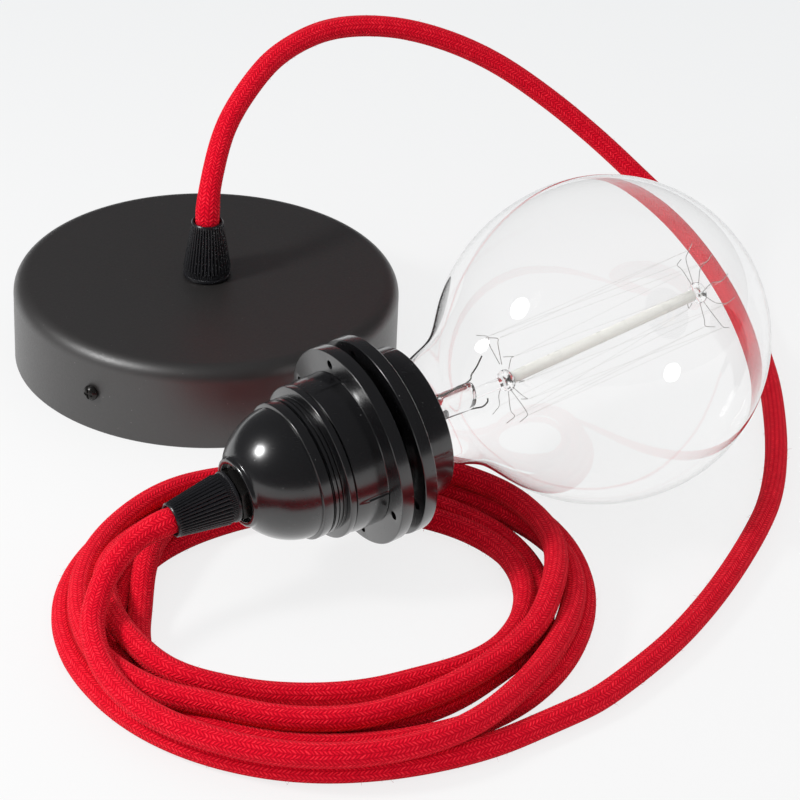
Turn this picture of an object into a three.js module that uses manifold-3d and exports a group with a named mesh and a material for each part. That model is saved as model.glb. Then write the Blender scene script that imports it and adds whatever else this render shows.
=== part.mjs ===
// A pendant cord set: a ceiling canopy, a braided cord, and a lamp holder with its bulb.
// Millimetres, +Z up. The origin is the middle of the face that goes against the ceiling. The set
// lies on a table here, so that face is down, at z = 0, and the cup opens downwards.
import * as THREE from "three";
import { mergeVertices } from "three/addons/utils/BufferGeometryUtils.js";
import Module from "manifold-3d";

const wasm = await Module();
wasm.setup();

// Clearance between pieces that touch, slide or thread into each other
const fit = 0.3;

// Canopy cup: a pressed steel pot
const cupRadius = 60;
const cupHeight = 27;
const cupWall = 1.2;
const cupEdgeRadius = 5;

// Mounting bracket: a strap across the cup with two turned-up ears
const bracketWidth = 14;
const bracketThickness = 1.5;
const bracketEarHeight = 19;
const bracketSlotLength = 8;
const bracketSlotWidth = 4.5;
const bracketSlotDistance = 50;
const bracketDirection = -120.4; // degrees from +X to the side screw that faces the viewer

// Side screws, through the cup's wall into the ears
const sideScrewHeight = 13.2;
const sideScrewRadius = 1.5;
const sideScrewHeadRadius = 2.4;
const sideScrewHeadHeight = 1.6;
const sideScrewLength = 10;

// Cord and its cores
const cordRadius = 3.4;
const coreRadius = 0.95;
const coreSpread = 1.9;

// Cord grip: a fluted cone on a threaded stem, the same on the canopy and the holder
const gripBaseRadius = 7.4;
const gripTipRadius = 5;
const gripLength = 18.5;
const gripCollarLength = 2;
const gripFlutes = 36;
const gripFluteDepth = 0.35;
const gripThreadDepth = 9;
const stemRadius = 5;
const canopyStemLength = 18.5;
const holderStemLength = 20;

// Lock nuts on the stems, and the washer of the canopy's one
const nutRadius = 7.9;
const canopyNutHeight = 3;
const holderNutHeight = 3.6;
const washerRadius = 9.5;
const washerThickness = 0.8;

// Terminal block on the bracket
const blockPoles = 3;
const polePitch = 10;
const blockWidth = 17;
const blockHeight = 13;
const blockStart = 14;
const poleHeight = 5.5;
const tubeOuterRadius = 2.4;
const tubeBore = 1.5;
const clampScrewRadius = 1.3;
const clampScrewOffset = 4.4;
const blockScrewRadius = 1.2;
const blockScrewHeadRadius = 2.2;
const blockScrewHeadHeight = 1.6;

// Earth screw and ring tag on the bracket
const earthDistance = 16;
const earthScrewRadius = 1.5;
const earthScrewHeadRadius = 2.8;
const earthScrewHeadHeight = 2;
const tagRadius = 3.6;
const tagThickness = 0.8;

// Where the holder lies: its axis runs through the middle of the bulb
const bulbX = 120.9;
const bulbY = -66.2;
const holderAzimuth = 33.5; // degrees from +X, seen from above, towards the bulb
const holderTilt = 7.33; // degrees that the bulb's end looks up

// Bulb: stations along the holder's axis are measured from the globe's centre towards the cord
const globeRadius = 47.5;
const globeReach = 52; // the globe is drawn out to this half length on the neck's side
const globeCut = 44; // station where the globe ends and the neck's curve starts
const neckRadius = 16.5;
const neckStart = 57;
const neckTurn = 61;
const neckEnd = 69.5;
const glassWall = 0.8;

// Screw cap of the bulb
const capRadius = 13.2;
const capWall = 0.45;
const capStart = 66.5;
const capSkirt = 3.6;
const capThreadPitch = 3.5;
const capTurns = 4;
const capThreadDepth = 0.9;
const insulatorHeight = 5;
const insulatorTipRadius = 5.2;
const tipRadius = 4.4;
const tipHeight = 1.8;

// Glass stem, arbor, beads and wires inside the bulb
const flareRadius = 11.2;
const flareEnd = 71;
const flareNeck = 60;
const pressRadius = 4.6;
const pressEnd = 46;
const rodRadius = 1.6;
const beadRadius = 3.2;
const beadLength = 3;
const nearBead = 35;
const farBead = -33;
const arborRadius = 1.75;
const arborTilt = 2.2; // degrees
const hookCount = 8;
const hookReach = 11.5;
const hookBend = 3;
const hookWire = 0.25;
const leadRadius = 0.4;
const leadSpread = 2.6;
const filamentRadius = 0.15;

// Threaded shell of the holder
const shellRadius = 19.5;
const shellMouthDepth = 1.7; // how far the mouth lies behind the start of the cap
const shellMouthBore = 17.5;
const shellMouthLength = 3;
const shoulderRadius = 22.4;
const shoulderLength = 2;
const shellNeckRadius = 20;
const shellNeckLength = 3.7;
const shellNeckGrooves = 3;
const grooveDepth = 0.6;
const spigotRadius = 18.2;
const spigotLength = 5;
const spigotWall = 1.2;

// Shade rings
const ringRadius = 29.1;
const ringFlange = 4;
const ringHeight = 13.9;
const ringCollarRadius = 22.1;
const ringMouthOffset = 1; // the front collar stands this far past the shell's mouth
const shadeGap = 3.6;
const ringEdge = 0.6;
const ringHoleCircle = 25.5;
const ringHoleRadius = 1.3;
const ringHoleSpread = 28; // degrees
const ringHoleDirection = 129.4; // degrees
const padHeight = 0.4;

// Raised pads on the collars: pairs of angles in degrees, about the holder's axis
const frontPads = [[5, 38.5], [69.5, 103], [185, 218.5], [249.5, 283]];
const rearPads = [[87, 173.5], [267, 353.5]];

// Domed cap of the holder
const domeRimRadius = 20.1;
const domeRimLength = 3.2;
const domeRadius = 19.2;
const domeCentre = 1.9; // how far the dome's centre lies past its rim's front edge
const domeWall = 2.2;
const bossRadius = 10.2;
const bossRimInner = 8.6;
const bossDepth = 2.2;
const bossHeight = 17.4; // from the dome's centre to the top of the boss
const bossWall = 4.2;

// Contact insert of the holder
const insertRadius = 16.6;
const insertThickness = 6;
const insertSetback = 2.3; // from the bulb's tip contact to the insert's face
const contactThickness = 0.4;
const contactWidth = 6;
const terminalDistance = 9;
const terminalHeadRadius = 2.8;
const terminalHeadHeight = 1.8;
const terminalShankRadius = 1.4;
const terminalShankLength = 4.5;

// Coil of the cord, on the table
const coilX = 43;
const coilY = -148;
const coilInnerRadius = 42;
const coilOuterRadius = 79.5;
const coilHeight = 14;
const coilLowHeight = 7; // where the shade rings lie over it, beyond these x and y
const coilLowX = 10;
const coilLowY = -134;

// Smoothness of round pieces
const wideSegments = 48;
const mediumSegments = 32;
const ringSegments = 36;
const smallSegments = 16;
const tinySegments = 8;

// Looks of the raw pieces
const finishes = {
  blackPaint: { color: 0x1c1b1b, roughness: 0.6, metalness: 0.1 },
  blackPlastic: { color: 0x0b0b0c, roughness: 0.2, metalness: 0 },
  gripPlastic: { color: 0x17171a, roughness: 0.5, metalness: 0 },
  steel: { color: 0xb9bbbd, roughness: 0.35, metalness: 1 },
  brass: { color: 0xc9a24a, roughness: 0.3, metalness: 1 },
  whitePlastic: { color: 0xf0efe9, roughness: 0.5, metalness: 0 },
  ceramic: { color: 0xe9e4d8, roughness: 0.5, metalness: 0 },
  glass: { color: 0xf4f8f8, roughness: 0.03, metalness: 0, transparent: true, opacity: 0.3 },
  cream: { color: 0xefe8d6, roughness: 0.5, metalness: 0 },
  darkWire: { color: 0x5b4a3c, roughness: 0.4, metalness: 0.8 },
  redBraid: { color: 0xd3121f, roughness: 0.9, metalness: 0 },
  brownCore: { color: 0x5a3524, roughness: 0.6, metalness: 0 },
  blueCore: { color: 0x2456a6, roughness: 0.6, metalness: 0 },
  earthCore: { color: 0x6f9a2c, roughness: 0.6, metalness: 0 },
};
const materials = Object.fromEntries(
  Object.entries(finishes).map(([name, look]) => [name, new THREE.MeshStandardMaterial(look)]),
);

const degrees = THREE.MathUtils.degToRad;

// A turned solid: the profile lists [radius, height] up the outside and back down the inside
function turned(profile, segments) {
  const points = profile.map(([r, z]) => new THREE.Vector2(r, z));
  return new THREE.LatheGeometry(points, segments).rotateX(Math.PI / 2);
}

// The profile of a tube or a washer, closed on itself
function ringProfile(inner, outer, low, high) {
  return [[inner, low], [outer, low], [outer, high], [inner, high], [inner, low]];
}

function disc(radius, low, high, segments = smallSegments) {
  return turned([[0, low], [radius, low], [radius, high], [0, high]], segments);
}

function ring(inner, outer, low, high, segments = smallSegments) {
  return turned(ringProfile(inner, outer, low, high), segments);
}

function box(x0, x1, y0, y1, z0, z1) {
  const shape = new THREE.BoxGeometry(x1 - x0, y1 - y0, z1 - z0);
  return shape.translate((x0 + x1) / 2, (y0 + y1) / 2, (z0 + z1) / 2);
}

// Points of a circular arc in a profile, from one angle to another in degrees
function arc(radius, centre, from, to, steps) {
  const points = [];
  for (let i = 0; i <= steps; i++) {
    const angle = degrees(from + ((to - from) * i) / steps);
    points.push([radius * Math.cos(angle), centre + radius * Math.sin(angle)]);
  }
  return points;
}

// A round bar along a smooth curve through the points
function bar(points, radius, steps, sides) {
  const path = new THREE.CatmullRomCurve3(points.map((p) => new THREE.Vector3(...p)));
  const section = new THREE.Shape();
  for (let i = 0; i < sides; i++) {
    const angle = (2 * Math.PI * i) / sides;
    const put = i === 0 ? "moveTo" : "lineTo";
    section[put](radius * Math.cos(angle), radius * Math.sin(angle));
  }
  return new THREE.ExtrudeGeometry(section, { steps, extrudePath: path, curveSegments: 1 });
}

// The boolean kernel works on closed meshes with shared vertices
function toSolid(geometry) {
  const bare = new THREE.BufferGeometry();
  bare.setAttribute("position", geometry.getAttribute("position"));
  if (geometry.index) bare.setIndex(geometry.index);
  const merged = mergeVertices(bare, 1e-4);
  const mesh = new wasm.Mesh({
    numProp: 3,
    vertProperties: new Float32Array(merged.getAttribute("position").array),
    triVerts: new Uint32Array(merged.index.array),
  });
  return new wasm.Manifold(mesh);
}

function toGeometry(solid) {
  const mesh = solid.getMesh();
  const geometry = new THREE.BufferGeometry();
  geometry.setAttribute("position", new THREE.BufferAttribute(mesh.vertProperties, 3));
  geometry.setIndex(new THREE.BufferAttribute(mesh.triVerts, 1));
  geometry.computeVertexNormals();
  return geometry;
}

function cut(body, tools) {
  return toGeometry(tools.reduce((left, tool) => left.subtract(toSolid(tool)), toSolid(body)));
}

function join(parts) {
  const [first, ...others] = parts.map(toSolid);
  return toGeometry(others.reduce((whole, part) => whole.add(part), first));
}

function named(name, geometry, material) {
  const mesh = new THREE.Mesh(geometry, materials[material]);
  mesh.name = name;
  return mesh;
}

// Canopy

const cupInner = cupRadius - cupWall;
const cupFaceInside = cupHeight - cupWall;
const stemHole = stemRadius + fit;

function canopyCup() {
  const edgeSteps = 4;
  const outerEdge = arc(cupEdgeRadius, cupHeight - cupEdgeRadius, 0, 90, edgeSteps);
  const innerEdge = arc(cupEdgeRadius - cupWall, cupHeight - cupEdgeRadius, 90, 0, edgeSteps - 1);
  const edgeCentre = cupRadius - cupEdgeRadius;
  const profile = [
    [cupInner, 0],
    [cupRadius, 0],
    ...outerEdge.map(([r, z]) => [edgeCentre + r, z]),
    [stemHole, cupHeight],
    [stemHole, cupFaceInside],
    ...innerEdge.map(([r, z]) => [edgeCentre + r, z]),
    [cupInner, 0],
  ];
  const hole = sideScrewBore().rotateZ(degrees(bracketDirection));
  return cut(turned(profile, wideSegments), [hole]);
}

// One straight bore for both side screws, right across the cup
function sideScrewBore() {
  const bore = disc(sideScrewRadius + fit, -cupRadius - 1, cupRadius + 1);
  return bore.rotateY(Math.PI / 2).translate(0, 0, sideScrewHeight);
}

// The ear's corners clear the round wall
const earFace = Math.sqrt(cupInner ** 2 - (bracketWidth / 2) ** 2) - fit;

function mountingBracket() {
  const outline = new THREE.Shape();
  const inside = earFace - bracketThickness;
  outline.moveTo(-earFace, 0);
  outline.lineTo(earFace, 0);
  outline.lineTo(earFace, bracketEarHeight);
  outline.lineTo(inside, bracketEarHeight);
  outline.lineTo(inside, bracketThickness);
  outline.lineTo(-inside, bracketThickness);
  outline.lineTo(-inside, bracketEarHeight);
  outline.lineTo(-earFace, bracketEarHeight);
  const strap = new THREE.ExtrudeGeometry(outline, { depth: bracketWidth, bevelEnabled: false });
  strap.rotateX(Math.PI / 2).translate(0, bracketWidth / 2, 0);
  const through = [-1, bracketThickness + 1];
  const holes = [
    sideScrewBore(),
    disc(earthScrewRadius + fit, ...through).translate(-earthDistance, 0, 0),
    disc(blockScrewRadius + fit, ...through).translate(blockScrewX, 0, 0),
    slotCutter(-bracketSlotDistance),
    slotCutter(bracketSlotDistance),
  ];
  return cut(strap, holes);
}

// A slot for a ceiling screw, with its middle at x
function slotCutter(x) {
  const half = bracketSlotWidth / 2;
  const reach = bracketSlotLength / 2 - half;
  const slot = new THREE.Shape();
  slot.absarc(x + reach, 0, half, -Math.PI / 2, Math.PI / 2);
  slot.absarc(x - reach, 0, half, Math.PI / 2, (3 * Math.PI) / 2);
  const depth = bracketThickness + 2;
  const cutter = new THREE.ExtrudeGeometry(slot, { depth, bevelEnabled: false, curveSegments: 6 });
  return cutter.translate(0, 0, -1);
}

function sideScrew() {
  const underHead = cupRadius + fit;
  const head = arc(sideScrewHeadRadius, 0, 0, 90, 3).map(([r, z]) => [
    r,
    underHead + 0.5 + (z / sideScrewHeadRadius) * (sideScrewHeadHeight - 0.5),
  ]);
  head[head.length - 1][0] = 0;
  const profile = [
    [0, underHead - sideScrewLength],
    [sideScrewRadius, underHead - sideScrewLength],
    [sideScrewRadius, underHead],
    [sideScrewHeadRadius, underHead],
    ...head,
  ];
  return turned(profile, 12).rotateY(Math.PI / 2).translate(0, 0, sideScrewHeight);
}

// A fluted cone on a short collar: the base is at z = 0 and the cord leaves it at the top
function gripCap() {
  const outline = new THREE.Shape();
  const points = 2 * gripFlutes;
  for (let i = 0; i < points; i++) {
    const angle = (2 * Math.PI * i) / points;
    const radius = gripBaseRadius - (i % 2) * gripFluteDepth;
    const put = i === 0 ? "moveTo" : "lineTo";
    outline[put](radius * Math.cos(angle), radius * Math.sin(angle));
  }
  const cone = new THREE.ExtrudeGeometry(outline, { depth: gripLength, steps: 2, bevelEnabled: false });
  const place = cone.getAttribute("position");
  for (let i = 0; i < place.count; i++) {
    const level = Math.round((2 * place.getZ(i)) / gripLength);
    const scale = level === 2 ? gripTipRadius / gripBaseRadius : 1;
    place.setXYZ(i, place.getX(i) * scale, place.getY(i) * scale, [0, gripCollarLength, gripLength][level]);
  }
  const throat = gripThreadDepth + stemRadius - cordRadius;
  const bore = turned([
    [0, -1],
    [stemRadius + fit, -1],
    [stemRadius + fit, gripThreadDepth],
    [cordRadius + fit, throat],
    [cordRadius + fit, gripLength + 1],
    [0, gripLength + 1],
  ], smallSegments);
  return cut(cone, [bore]);
}

function lockNut(low, height) {
  const hex = disc(nutRadius, low, low + height, 6);
  return cut(hex, [disc(stemRadius + fit, low - 1, low + height + 1)]);
}

// The stem of the canopy's grip, from inside the cup up into the grip
const canopyGripLow = cupHeight + fit;
const gripTop = canopyGripLow + gripLength;
const canopyStemHigh = canopyGripLow + gripThreadDepth - fit;
const canopyStemLow = canopyStemHigh - canopyStemLength;
const cordEnd = canopyStemLow + fit;
const washerLow = cupFaceInside - fit - washerThickness;
const canopyNutLow = washerLow - fit - canopyNutHeight;

function gripStem(low, high) {
  return ring(cordRadius + fit, stemRadius, low, high);
}

// Terminal block, in the bracket's own direction

const blockLow = bracketThickness + fit;
const blockEnd = blockStart + blockPoles * polePitch;
const blockTop = blockLow + blockHeight;
const tubeAxis = blockLow + poleHeight;
const poleX = Array.from({ length: blockPoles }, (_, i) => blockStart + (i + 0.5) * polePitch);
const blockScrewX = blockStart + polePitch;

function terminalBlock() {
  const body = box(blockStart, blockEnd, -blockWidth / 2, blockWidth / 2, blockLow, blockTop);
  const tools = [];
  for (const x of poleX) {
    const bore = disc(tubeOuterRadius + fit, -blockWidth, blockWidth, 10).rotateX(Math.PI / 2);
    tools.push(bore.translate(x, 0, tubeAxis));
    for (const side of [-1, 1]) {
      const well = disc(clampScrewRadius + fit, tubeAxis, blockTop + 1, tinySegments);
      tools.push(well.translate(x, side * clampScrewOffset, 0));
    }
  }
  const screwHole = disc(blockScrewRadius + fit, blockLow - 1, blockTop + 1, tinySegments);
  tools.push(screwHole.translate(blockScrewX, 0, 0));
  return cut(body, tools);
}

function terminalTube(x) {
  const half = blockWidth / 2 - fit;
  const tube = ring(tubeBore, tubeOuterRadius, -half, half, 10).rotateX(Math.PI / 2);
  const tools = [-1, 1].map((side) => {
    const hole = disc(clampScrewRadius + fit, 0, 2 * tubeOuterRadius, tinySegments);
    return hole.translate(0, side * clampScrewOffset, 0);
  });
  return cut(tube, tools).translate(x, 0, tubeAxis);
}

function clampScrew(x, side) {
  const low = tubeAxis + coreRadius + fit;
  return disc(clampScrewRadius, low, blockTop, tinySegments).translate(x, side * clampScrewOffset, 0);
}

function panScrew(headRadius, headHeight, shankRadius, low, seat) {
  return turned([
    [0, low],
    [shankRadius, low],
    [shankRadius, seat],
    [headRadius, seat],
    [headRadius, seat + headHeight * 0.6],
    [headRadius * 0.7, seat + headHeight],
    [0, seat + headHeight],
  ], 10);
}

// Earth tag: a ring under the screw with a barrel that grips the wire

const tagLow = bracketThickness + fit;
const tagBarrelStart = -earthDistance + tagRadius - 0.4;
const tagBarrelLength = 5;
const tagBarrelRadius = 1.5;

function earthTag() {
  const plate = ring(earthScrewRadius + fit, tagRadius, tagLow, tagLow + tagThickness);
  plate.translate(-earthDistance, 0, 0);
  const barrel = disc(tagBarrelRadius, 0, tagBarrelLength, tinySegments).rotateY(Math.PI / 2);
  barrel.translate(tagBarrelStart, 0, tagLow + tagBarrelRadius);
  return join([plate, barrel]);
}

// Cores of the cord inside the cup, from the end of the cord in the stem to their terminals

function canopyCore(name) {
  const start = cordEnd - 2 * fit;
  const below = canopyStemLow - 2;
  const half = coreSpread / 2;
  const aside = coreSpread * 0.87;
  const wide = blockWidth / 2 + 4;
  const mouth = blockWidth / 2 - 3;
  const barrelEnd = tagBarrelStart + tagBarrelLength;
  const barrelAxis = tagLow + tagBarrelRadius;
  const routes = {
    live: [
      [half, -aside, start],
      [half, -aside, below],
      [7, -wide + 1, tubeAxis + 3],
      [poleX[0] - 4, -wide, tubeAxis],
      [poleX[0], -wide + 2, tubeAxis],
      [poleX[0], -mouth, tubeAxis],
    ],
    neutral: [
      [half, aside, start],
      [half, aside, below],
      [9, wide - 1, tubeAxis + 3],
      [poleX[1] - 5, wide, tubeAxis],
      [poleX[1], wide - 2, tubeAxis],
      [poleX[1], mouth, tubeAxis],
    ],
    earth: [
      [-coreSpread, 0, start],
      [-coreSpread, 0, below],
      [-4, 0, tubeAxis],
      [barrelEnd + 2, 0, barrelAxis + fit],
      [barrelEnd + fit, 0, barrelAxis],
    ],
  };
  return bar(routes[name], coreRadius, 12, 5);
}

function canopy() {
  const group = new THREE.Group();
  group.add(named("canopy_cup", canopyCup(), "blackPaint"));
  const onBracket = new THREE.Group();
  onBracket.rotation.z = degrees(bracketDirection);
  onBracket.add(named("mounting_bracket", mountingBracket(), "steel"));
  onBracket.add(named("side_screw_front", sideScrew(), "steel"));
  onBracket.add(named("side_screw_rear", sideScrew().rotateZ(Math.PI), "steel"));
  onBracket.add(named("terminal_block", terminalBlock(), "whitePlastic"));
  poleX.forEach((x, i) => {
    onBracket.add(named(`terminal_tube_${i + 1}`, terminalTube(x), "brass"));
    onBracket.add(named(`clamp_screw_${i + 1}a`, clampScrew(x, -1), "steel"));
    onBracket.add(named(`clamp_screw_${i + 1}b`, clampScrew(x, 1), "steel"));
  });
  const blockScrew = panScrew(
    blockScrewHeadRadius, blockScrewHeadHeight, blockScrewRadius, fit, blockTop + fit,
  );
  onBracket.add(named("terminal_block_screw", blockScrew.translate(blockScrewX, 0, 0), "steel"));
  onBracket.add(named("earth_tag", earthTag(), "brass"));
  const earthScrew = panScrew(
    earthScrewHeadRadius, earthScrewHeadHeight, earthScrewRadius, fit, tagLow + tagThickness + fit,
  );
  onBracket.add(named("earth_screw", earthScrew.translate(-earthDistance, 0, 0), "steel"));
  onBracket.add(named("canopy_core_live", canopyCore("live"), "brownCore"));
  onBracket.add(named("canopy_core_neutral", canopyCore("neutral"), "blueCore"));
  onBracket.add(named("canopy_core_earth", canopyCore("earth"), "earthCore"));
  group.add(onBracket);
  const grip = gripCap().translate(0, 0, canopyGripLow);
  const stem = gripStem(canopyStemLow, canopyStemHigh);
  const washer = ring(stemHole, washerRadius, washerLow, washerLow + washerThickness);
  group.add(named("canopy_grip_cap", grip, "gripPlastic"));
  group.add(named("canopy_grip_stem", stem, "gripPlastic"));
  group.add(named("canopy_lock_washer", washer, "steel"));
  group.add(named("canopy_lock_nut", lockNut(canopyNutLow, canopyNutHeight), "steel"));
  return group;
}

// Bulb, along its own axis: heights here are stations from the globe's centre towards the cord

const capThreadLength = capTurns * capThreadPitch;
const capEnd = capStart + capSkirt + capThreadLength + 0.2;
const insulatorStart = capEnd + fit;
const insulatorEnd = insulatorStart + insulatorHeight;
const tipStart = insulatorEnd + fit;
const tipEnd = tipStart + tipHeight;

// Radius of the globe's outside at a station on the neck's side, where it is drawn out
function drawnRadius(radius, reach, station) {
  return radius * Math.sqrt(1 - (station / reach) ** 2);
}

function bulbSkin(offset, neckSteps) {
  const radius = globeRadius - offset;
  const reach = globeReach - offset;
  const far = arc(radius, 0, -90, 0, 8);
  far[0][0] = 0;
  const near = [0.35, 0.65, 0.88, 1].map((share) => {
    const station = globeCut * share;
    return [drawnRadius(radius, reach, station), station];
  });
  const start = near[near.length - 1];
  const slope = -(radius / reach) * (start[1] / reach) / Math.sqrt(1 - (start[1] / reach) ** 2);
  const reachOut = (neckStart - globeCut) * 0.55;
  const curve = new THREE.CubicBezierCurve(
    new THREE.Vector2(...start),
    new THREE.Vector2(start[0] + slope * reachOut, start[1] + reachOut),
    new THREE.Vector2(neckRadius - offset, neckStart - reachOut * 0.6),
    new THREE.Vector2(neckRadius - offset, neckStart),
  );
  const neck = curve.getPoints(neckSteps).slice(1).map((p) => [p.x, p.y]);
  const throat = capRadius - capWall - 2 * fit - offset;
  const intoCap = [[neckRadius - offset, neckTurn], [throat, capStart - 1], [throat, neckEnd]];
  return [...far, ...near, ...neck, ...intoCap];
}

function bulbGlass() {
  const inside = bulbSkin(glassWall, 3).reverse();
  return turned([...bulbSkin(0, 3), ...inside], mediumSegments);
}

function capShell() {
  const skirtEnd = capStart + capSkirt;
  const root = capRadius - capThreadDepth;
  const outside = [[capRadius, capStart], [capRadius, skirtEnd]];
  for (let turn = 0; turn < capTurns; turn++) {
    const at = skirtEnd + turn * capThreadPitch;
    outside.push([root, at + capThreadPitch * 0.25]);
    outside.push([capRadius, at + capThreadPitch * 0.75]);
  }
  outside.push([root, capEnd]);
  const bore = root - capWall;
  return turned([
    [capRadius - capWall, capStart],
    ...outside,
    [insulatorTipRadius + 2, capEnd],
    [insulatorTipRadius + 2, capEnd - capWall],
    [bore, capEnd - capWall],
    [bore, skirtEnd],
    [capRadius - capWall, skirtEnd - 0.4],
    [capRadius - capWall, capStart],
  ], smallSegments);
}

function capInsulator() {
  const wide = capRadius - capThreadDepth - capWall - 0.5;
  return turned([
    [0, insulatorStart],
    [wide, insulatorStart],
    [wide, insulatorStart + 1],
    [insulatorTipRadius, insulatorEnd],
    [0, insulatorEnd],
  ], smallSegments);
}

function tipContact() {
  return turned([
    [0, tipStart],
    [tipRadius, tipStart],
    [tipRadius, tipStart + tipHeight * 0.4],
    [tipRadius * 0.6, tipStart + tipHeight * 0.85],
    [0, tipEnd],
  ], 12);
}

// The bulb's stem: a flare fused to the neck, a press that grips the leads, and a glass rod
function stemGlass() {
  const flare = turned([
    [0, pressEnd + 1],
    [pressRadius * 0.8, pressEnd + 1],
    [pressRadius * 0.8, flareNeck - 4],
    [pressRadius * 1.1, flareNeck],
    [pressRadius * 1.4, flareNeck + 4],
    [flareRadius, flareEnd - 0.8],
    [flareRadius, flareEnd],
    [0, flareEnd],
  ], smallSegments);
  const half = pressRadius;
  const press = box(-half, half, -half * 0.45, half * 0.45, pressEnd, flareNeck - 5);
  const rod = disc(rodRadius, nearBead + beadLength / 2 + fit, pressEnd + 2, 10);
  return join([flare, press, rod]);
}

// A glass bead with support hooks: wires that were melted into it, bent at their tips
function supportBead(station, away) {
  const half = beadLength / 2;
  const bead = turned([
    [0, station - half],
    [beadRadius * 0.7, station - half],
    [beadRadius, station - half * 0.3],
    [beadRadius, station + half * 0.3],
    [beadRadius * 0.7, station + half],
    [0, station + half],
  ], 12);
  const hooks = [];
  for (let i = 0; i < hookCount; i++) {
    const route = [
      [beadRadius * 0.5, 0, station],
      [hookReach * 0.6, 0, station],
      [hookReach, 0, station + away * hookBend * 0.4],
      [hookReach, 0, station + away * hookBend],
    ];
    hooks.push(bar(route, hookWire, 4, 4).rotateZ((2 * Math.PI * (i + 0.5 * (away > 0))) / hookCount));
  }
  return join([bead, ...hooks]);
}

function arbor() {
  const low = farBead + beadLength / 2 + fit;
  const high = nearBead - beadLength / 2 - fit;
  return disc(arborRadius, low, high, 10);
}

// A lead leaves the press and turns out to the first hook of the cage
function leadWire(side) {
  return bar([
    [side * leadSpread, 0, pressEnd - fit],
    [side * leadSpread, 0, pressEnd - 3],
    [side * (leadSpread + 2), 0, nearBead + 5],
    [side * (hookReach - 3), 0, nearBead + 3],
  ], leadRadius, 6, 5);
}

// A straight wire from one point to another, a little longer so that wires join at corners
function straightWire(from, to, radius) {
  const along = new THREE.Vector3().subVectors(to, from);
  const wire = new THREE.CylinderGeometry(radius, radius, along.length() + radius, 5);
  const direction = along.clone().normalize();
  const turn = new THREE.Quaternion().setFromUnitVectors(new THREE.Vector3(0, 1, 0), direction);
  const middle = new THREE.Vector3().addVectors(from, to).multiplyScalar(0.5);
  return wire.applyQuaternion(turn).translate(middle.x, middle.y, middle.z);
}

// The filament runs to and fro between the bent tips of both beads' hooks, just outside them
function filament() {
  const outside = hookReach + hookWire + filamentRadius + fit;
  const corners = [];
  for (let i = 0; i < 2 * hookCount - 1; i++) {
    const angle = (Math.PI * (i + 1)) / hookCount;
    const station = i % 2 === 0 ? nearBead + hookBend / 2 : farBead - hookBend / 2;
    corners.push(new THREE.Vector3(outside * Math.cos(angle), outside * Math.sin(angle), station));
  }
  return join(corners.slice(1).map((corner, i) => straightWire(corners[i], corner, filamentRadius)));
}

function bulb() {
  const group = new THREE.Group();
  group.add(named("bulb_glass", bulbGlass(), "glass"));
  group.add(named("bulb_cap_shell", capShell(), "brass"));
  group.add(named("bulb_cap_insulator", capInsulator(), "blackPlastic"));
  group.add(named("bulb_tip_contact", tipContact(), "steel"));
  const inner = new THREE.Group();
  inner.add(named("bulb_stem_glass", stemGlass(), "glass"));
  const mount = new THREE.Group();
  mount.position.z = nearBead;
  mount.rotation.x = degrees(arborTilt);
  const onMount = new THREE.Group();
  onMount.position.z = -nearBead;
  onMount.add(named("bulb_arbor", arbor(), "cream"));
  onMount.add(named("support_bead_near", supportBead(nearBead, 1), "glass"));
  onMount.add(named("support_bead_far", supportBead(farBead, -1), "glass"));
  onMount.add(named("bulb_filament", filament(), "darkWire"));
  mount.add(onMount);
  inner.add(mount);
  inner.add(named("lead_wire_left", leadWire(-1), "darkWire"));
  inner.add(named("lead_wire_right", leadWire(1), "darkWire"));
  group.add(inner);
  return group;
}

// Lamp holder, on the same axis and stations as the bulb

const shellThreadBore = capRadius + fit;
const shellMouth = capStart + shellMouthDepth;
const insertFace = tipEnd + insertSetback;
const frontRingLow = shellMouth - ringMouthOffset;
const rearRingLow = frontRingLow + ringHeight + shadeGap;
const rearRingEnd = rearRingLow + ringHeight;
const shoulderLow = rearRingEnd + fit;
const shellNeckLow = shoulderLow + shoulderLength;
const domeLow = shellNeckLow + shellNeckLength + fit;

function holderShell() {
  const neckEdge = shellNeckLow + shellNeckLength;
  const pitch = shellNeckLength / (shellNeckGrooves + 0.5);
  const grooves = [];
  for (let i = 0; i < shellNeckGrooves; i++) {
    const at = shellNeckLow + (i + 0.5) * pitch;
    grooves.push([shellNeckRadius - grooveDepth, at], [shellNeckRadius, at + pitch * 0.4]);
  }
  const insertSeat = insertFace - fit;
  const bore = insertRadius + fit;
  return turned([
    [shellMouthBore, shellMouth],
    [shellRadius, shellMouth],
    [shellRadius, shoulderLow],
    [shoulderRadius, shoulderLow],
    [shoulderRadius, shellNeckLow],
    ...grooves,
    [shellNeckRadius, neckEdge],
    [spigotRadius, neckEdge],
    [spigotRadius, neckEdge + spigotLength],
    [spigotRadius - spigotWall, neckEdge + spigotLength],
    [bore, neckEdge],
    [bore, insertSeat],
    [shellThreadBore, insertSeat],
    [shellThreadBore, shellMouth + shellMouthLength],
    [shellMouthBore, shellMouth + shellMouthLength - 1],
    [shellMouthBore, shellMouth],
  ], mediumSegments);
}

// A raised pad on a ring's collar, between two angles in degrees
function collarPad(from, to, low, high) {
  const pad = new THREE.Shape();
  const inner = ringCollarRadius - 0.6;
  pad.absarc(0, 0, ringCollarRadius + padHeight, degrees(from), degrees(to));
  pad.absarc(0, 0, inner, degrees(to), degrees(from), true);
  const depth = high - low;
  const solid = new THREE.ExtrudeGeometry(pad, { depth, bevelEnabled: false, curveSegments: 4 });
  return solid.translate(0, 0, low);
}

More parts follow.
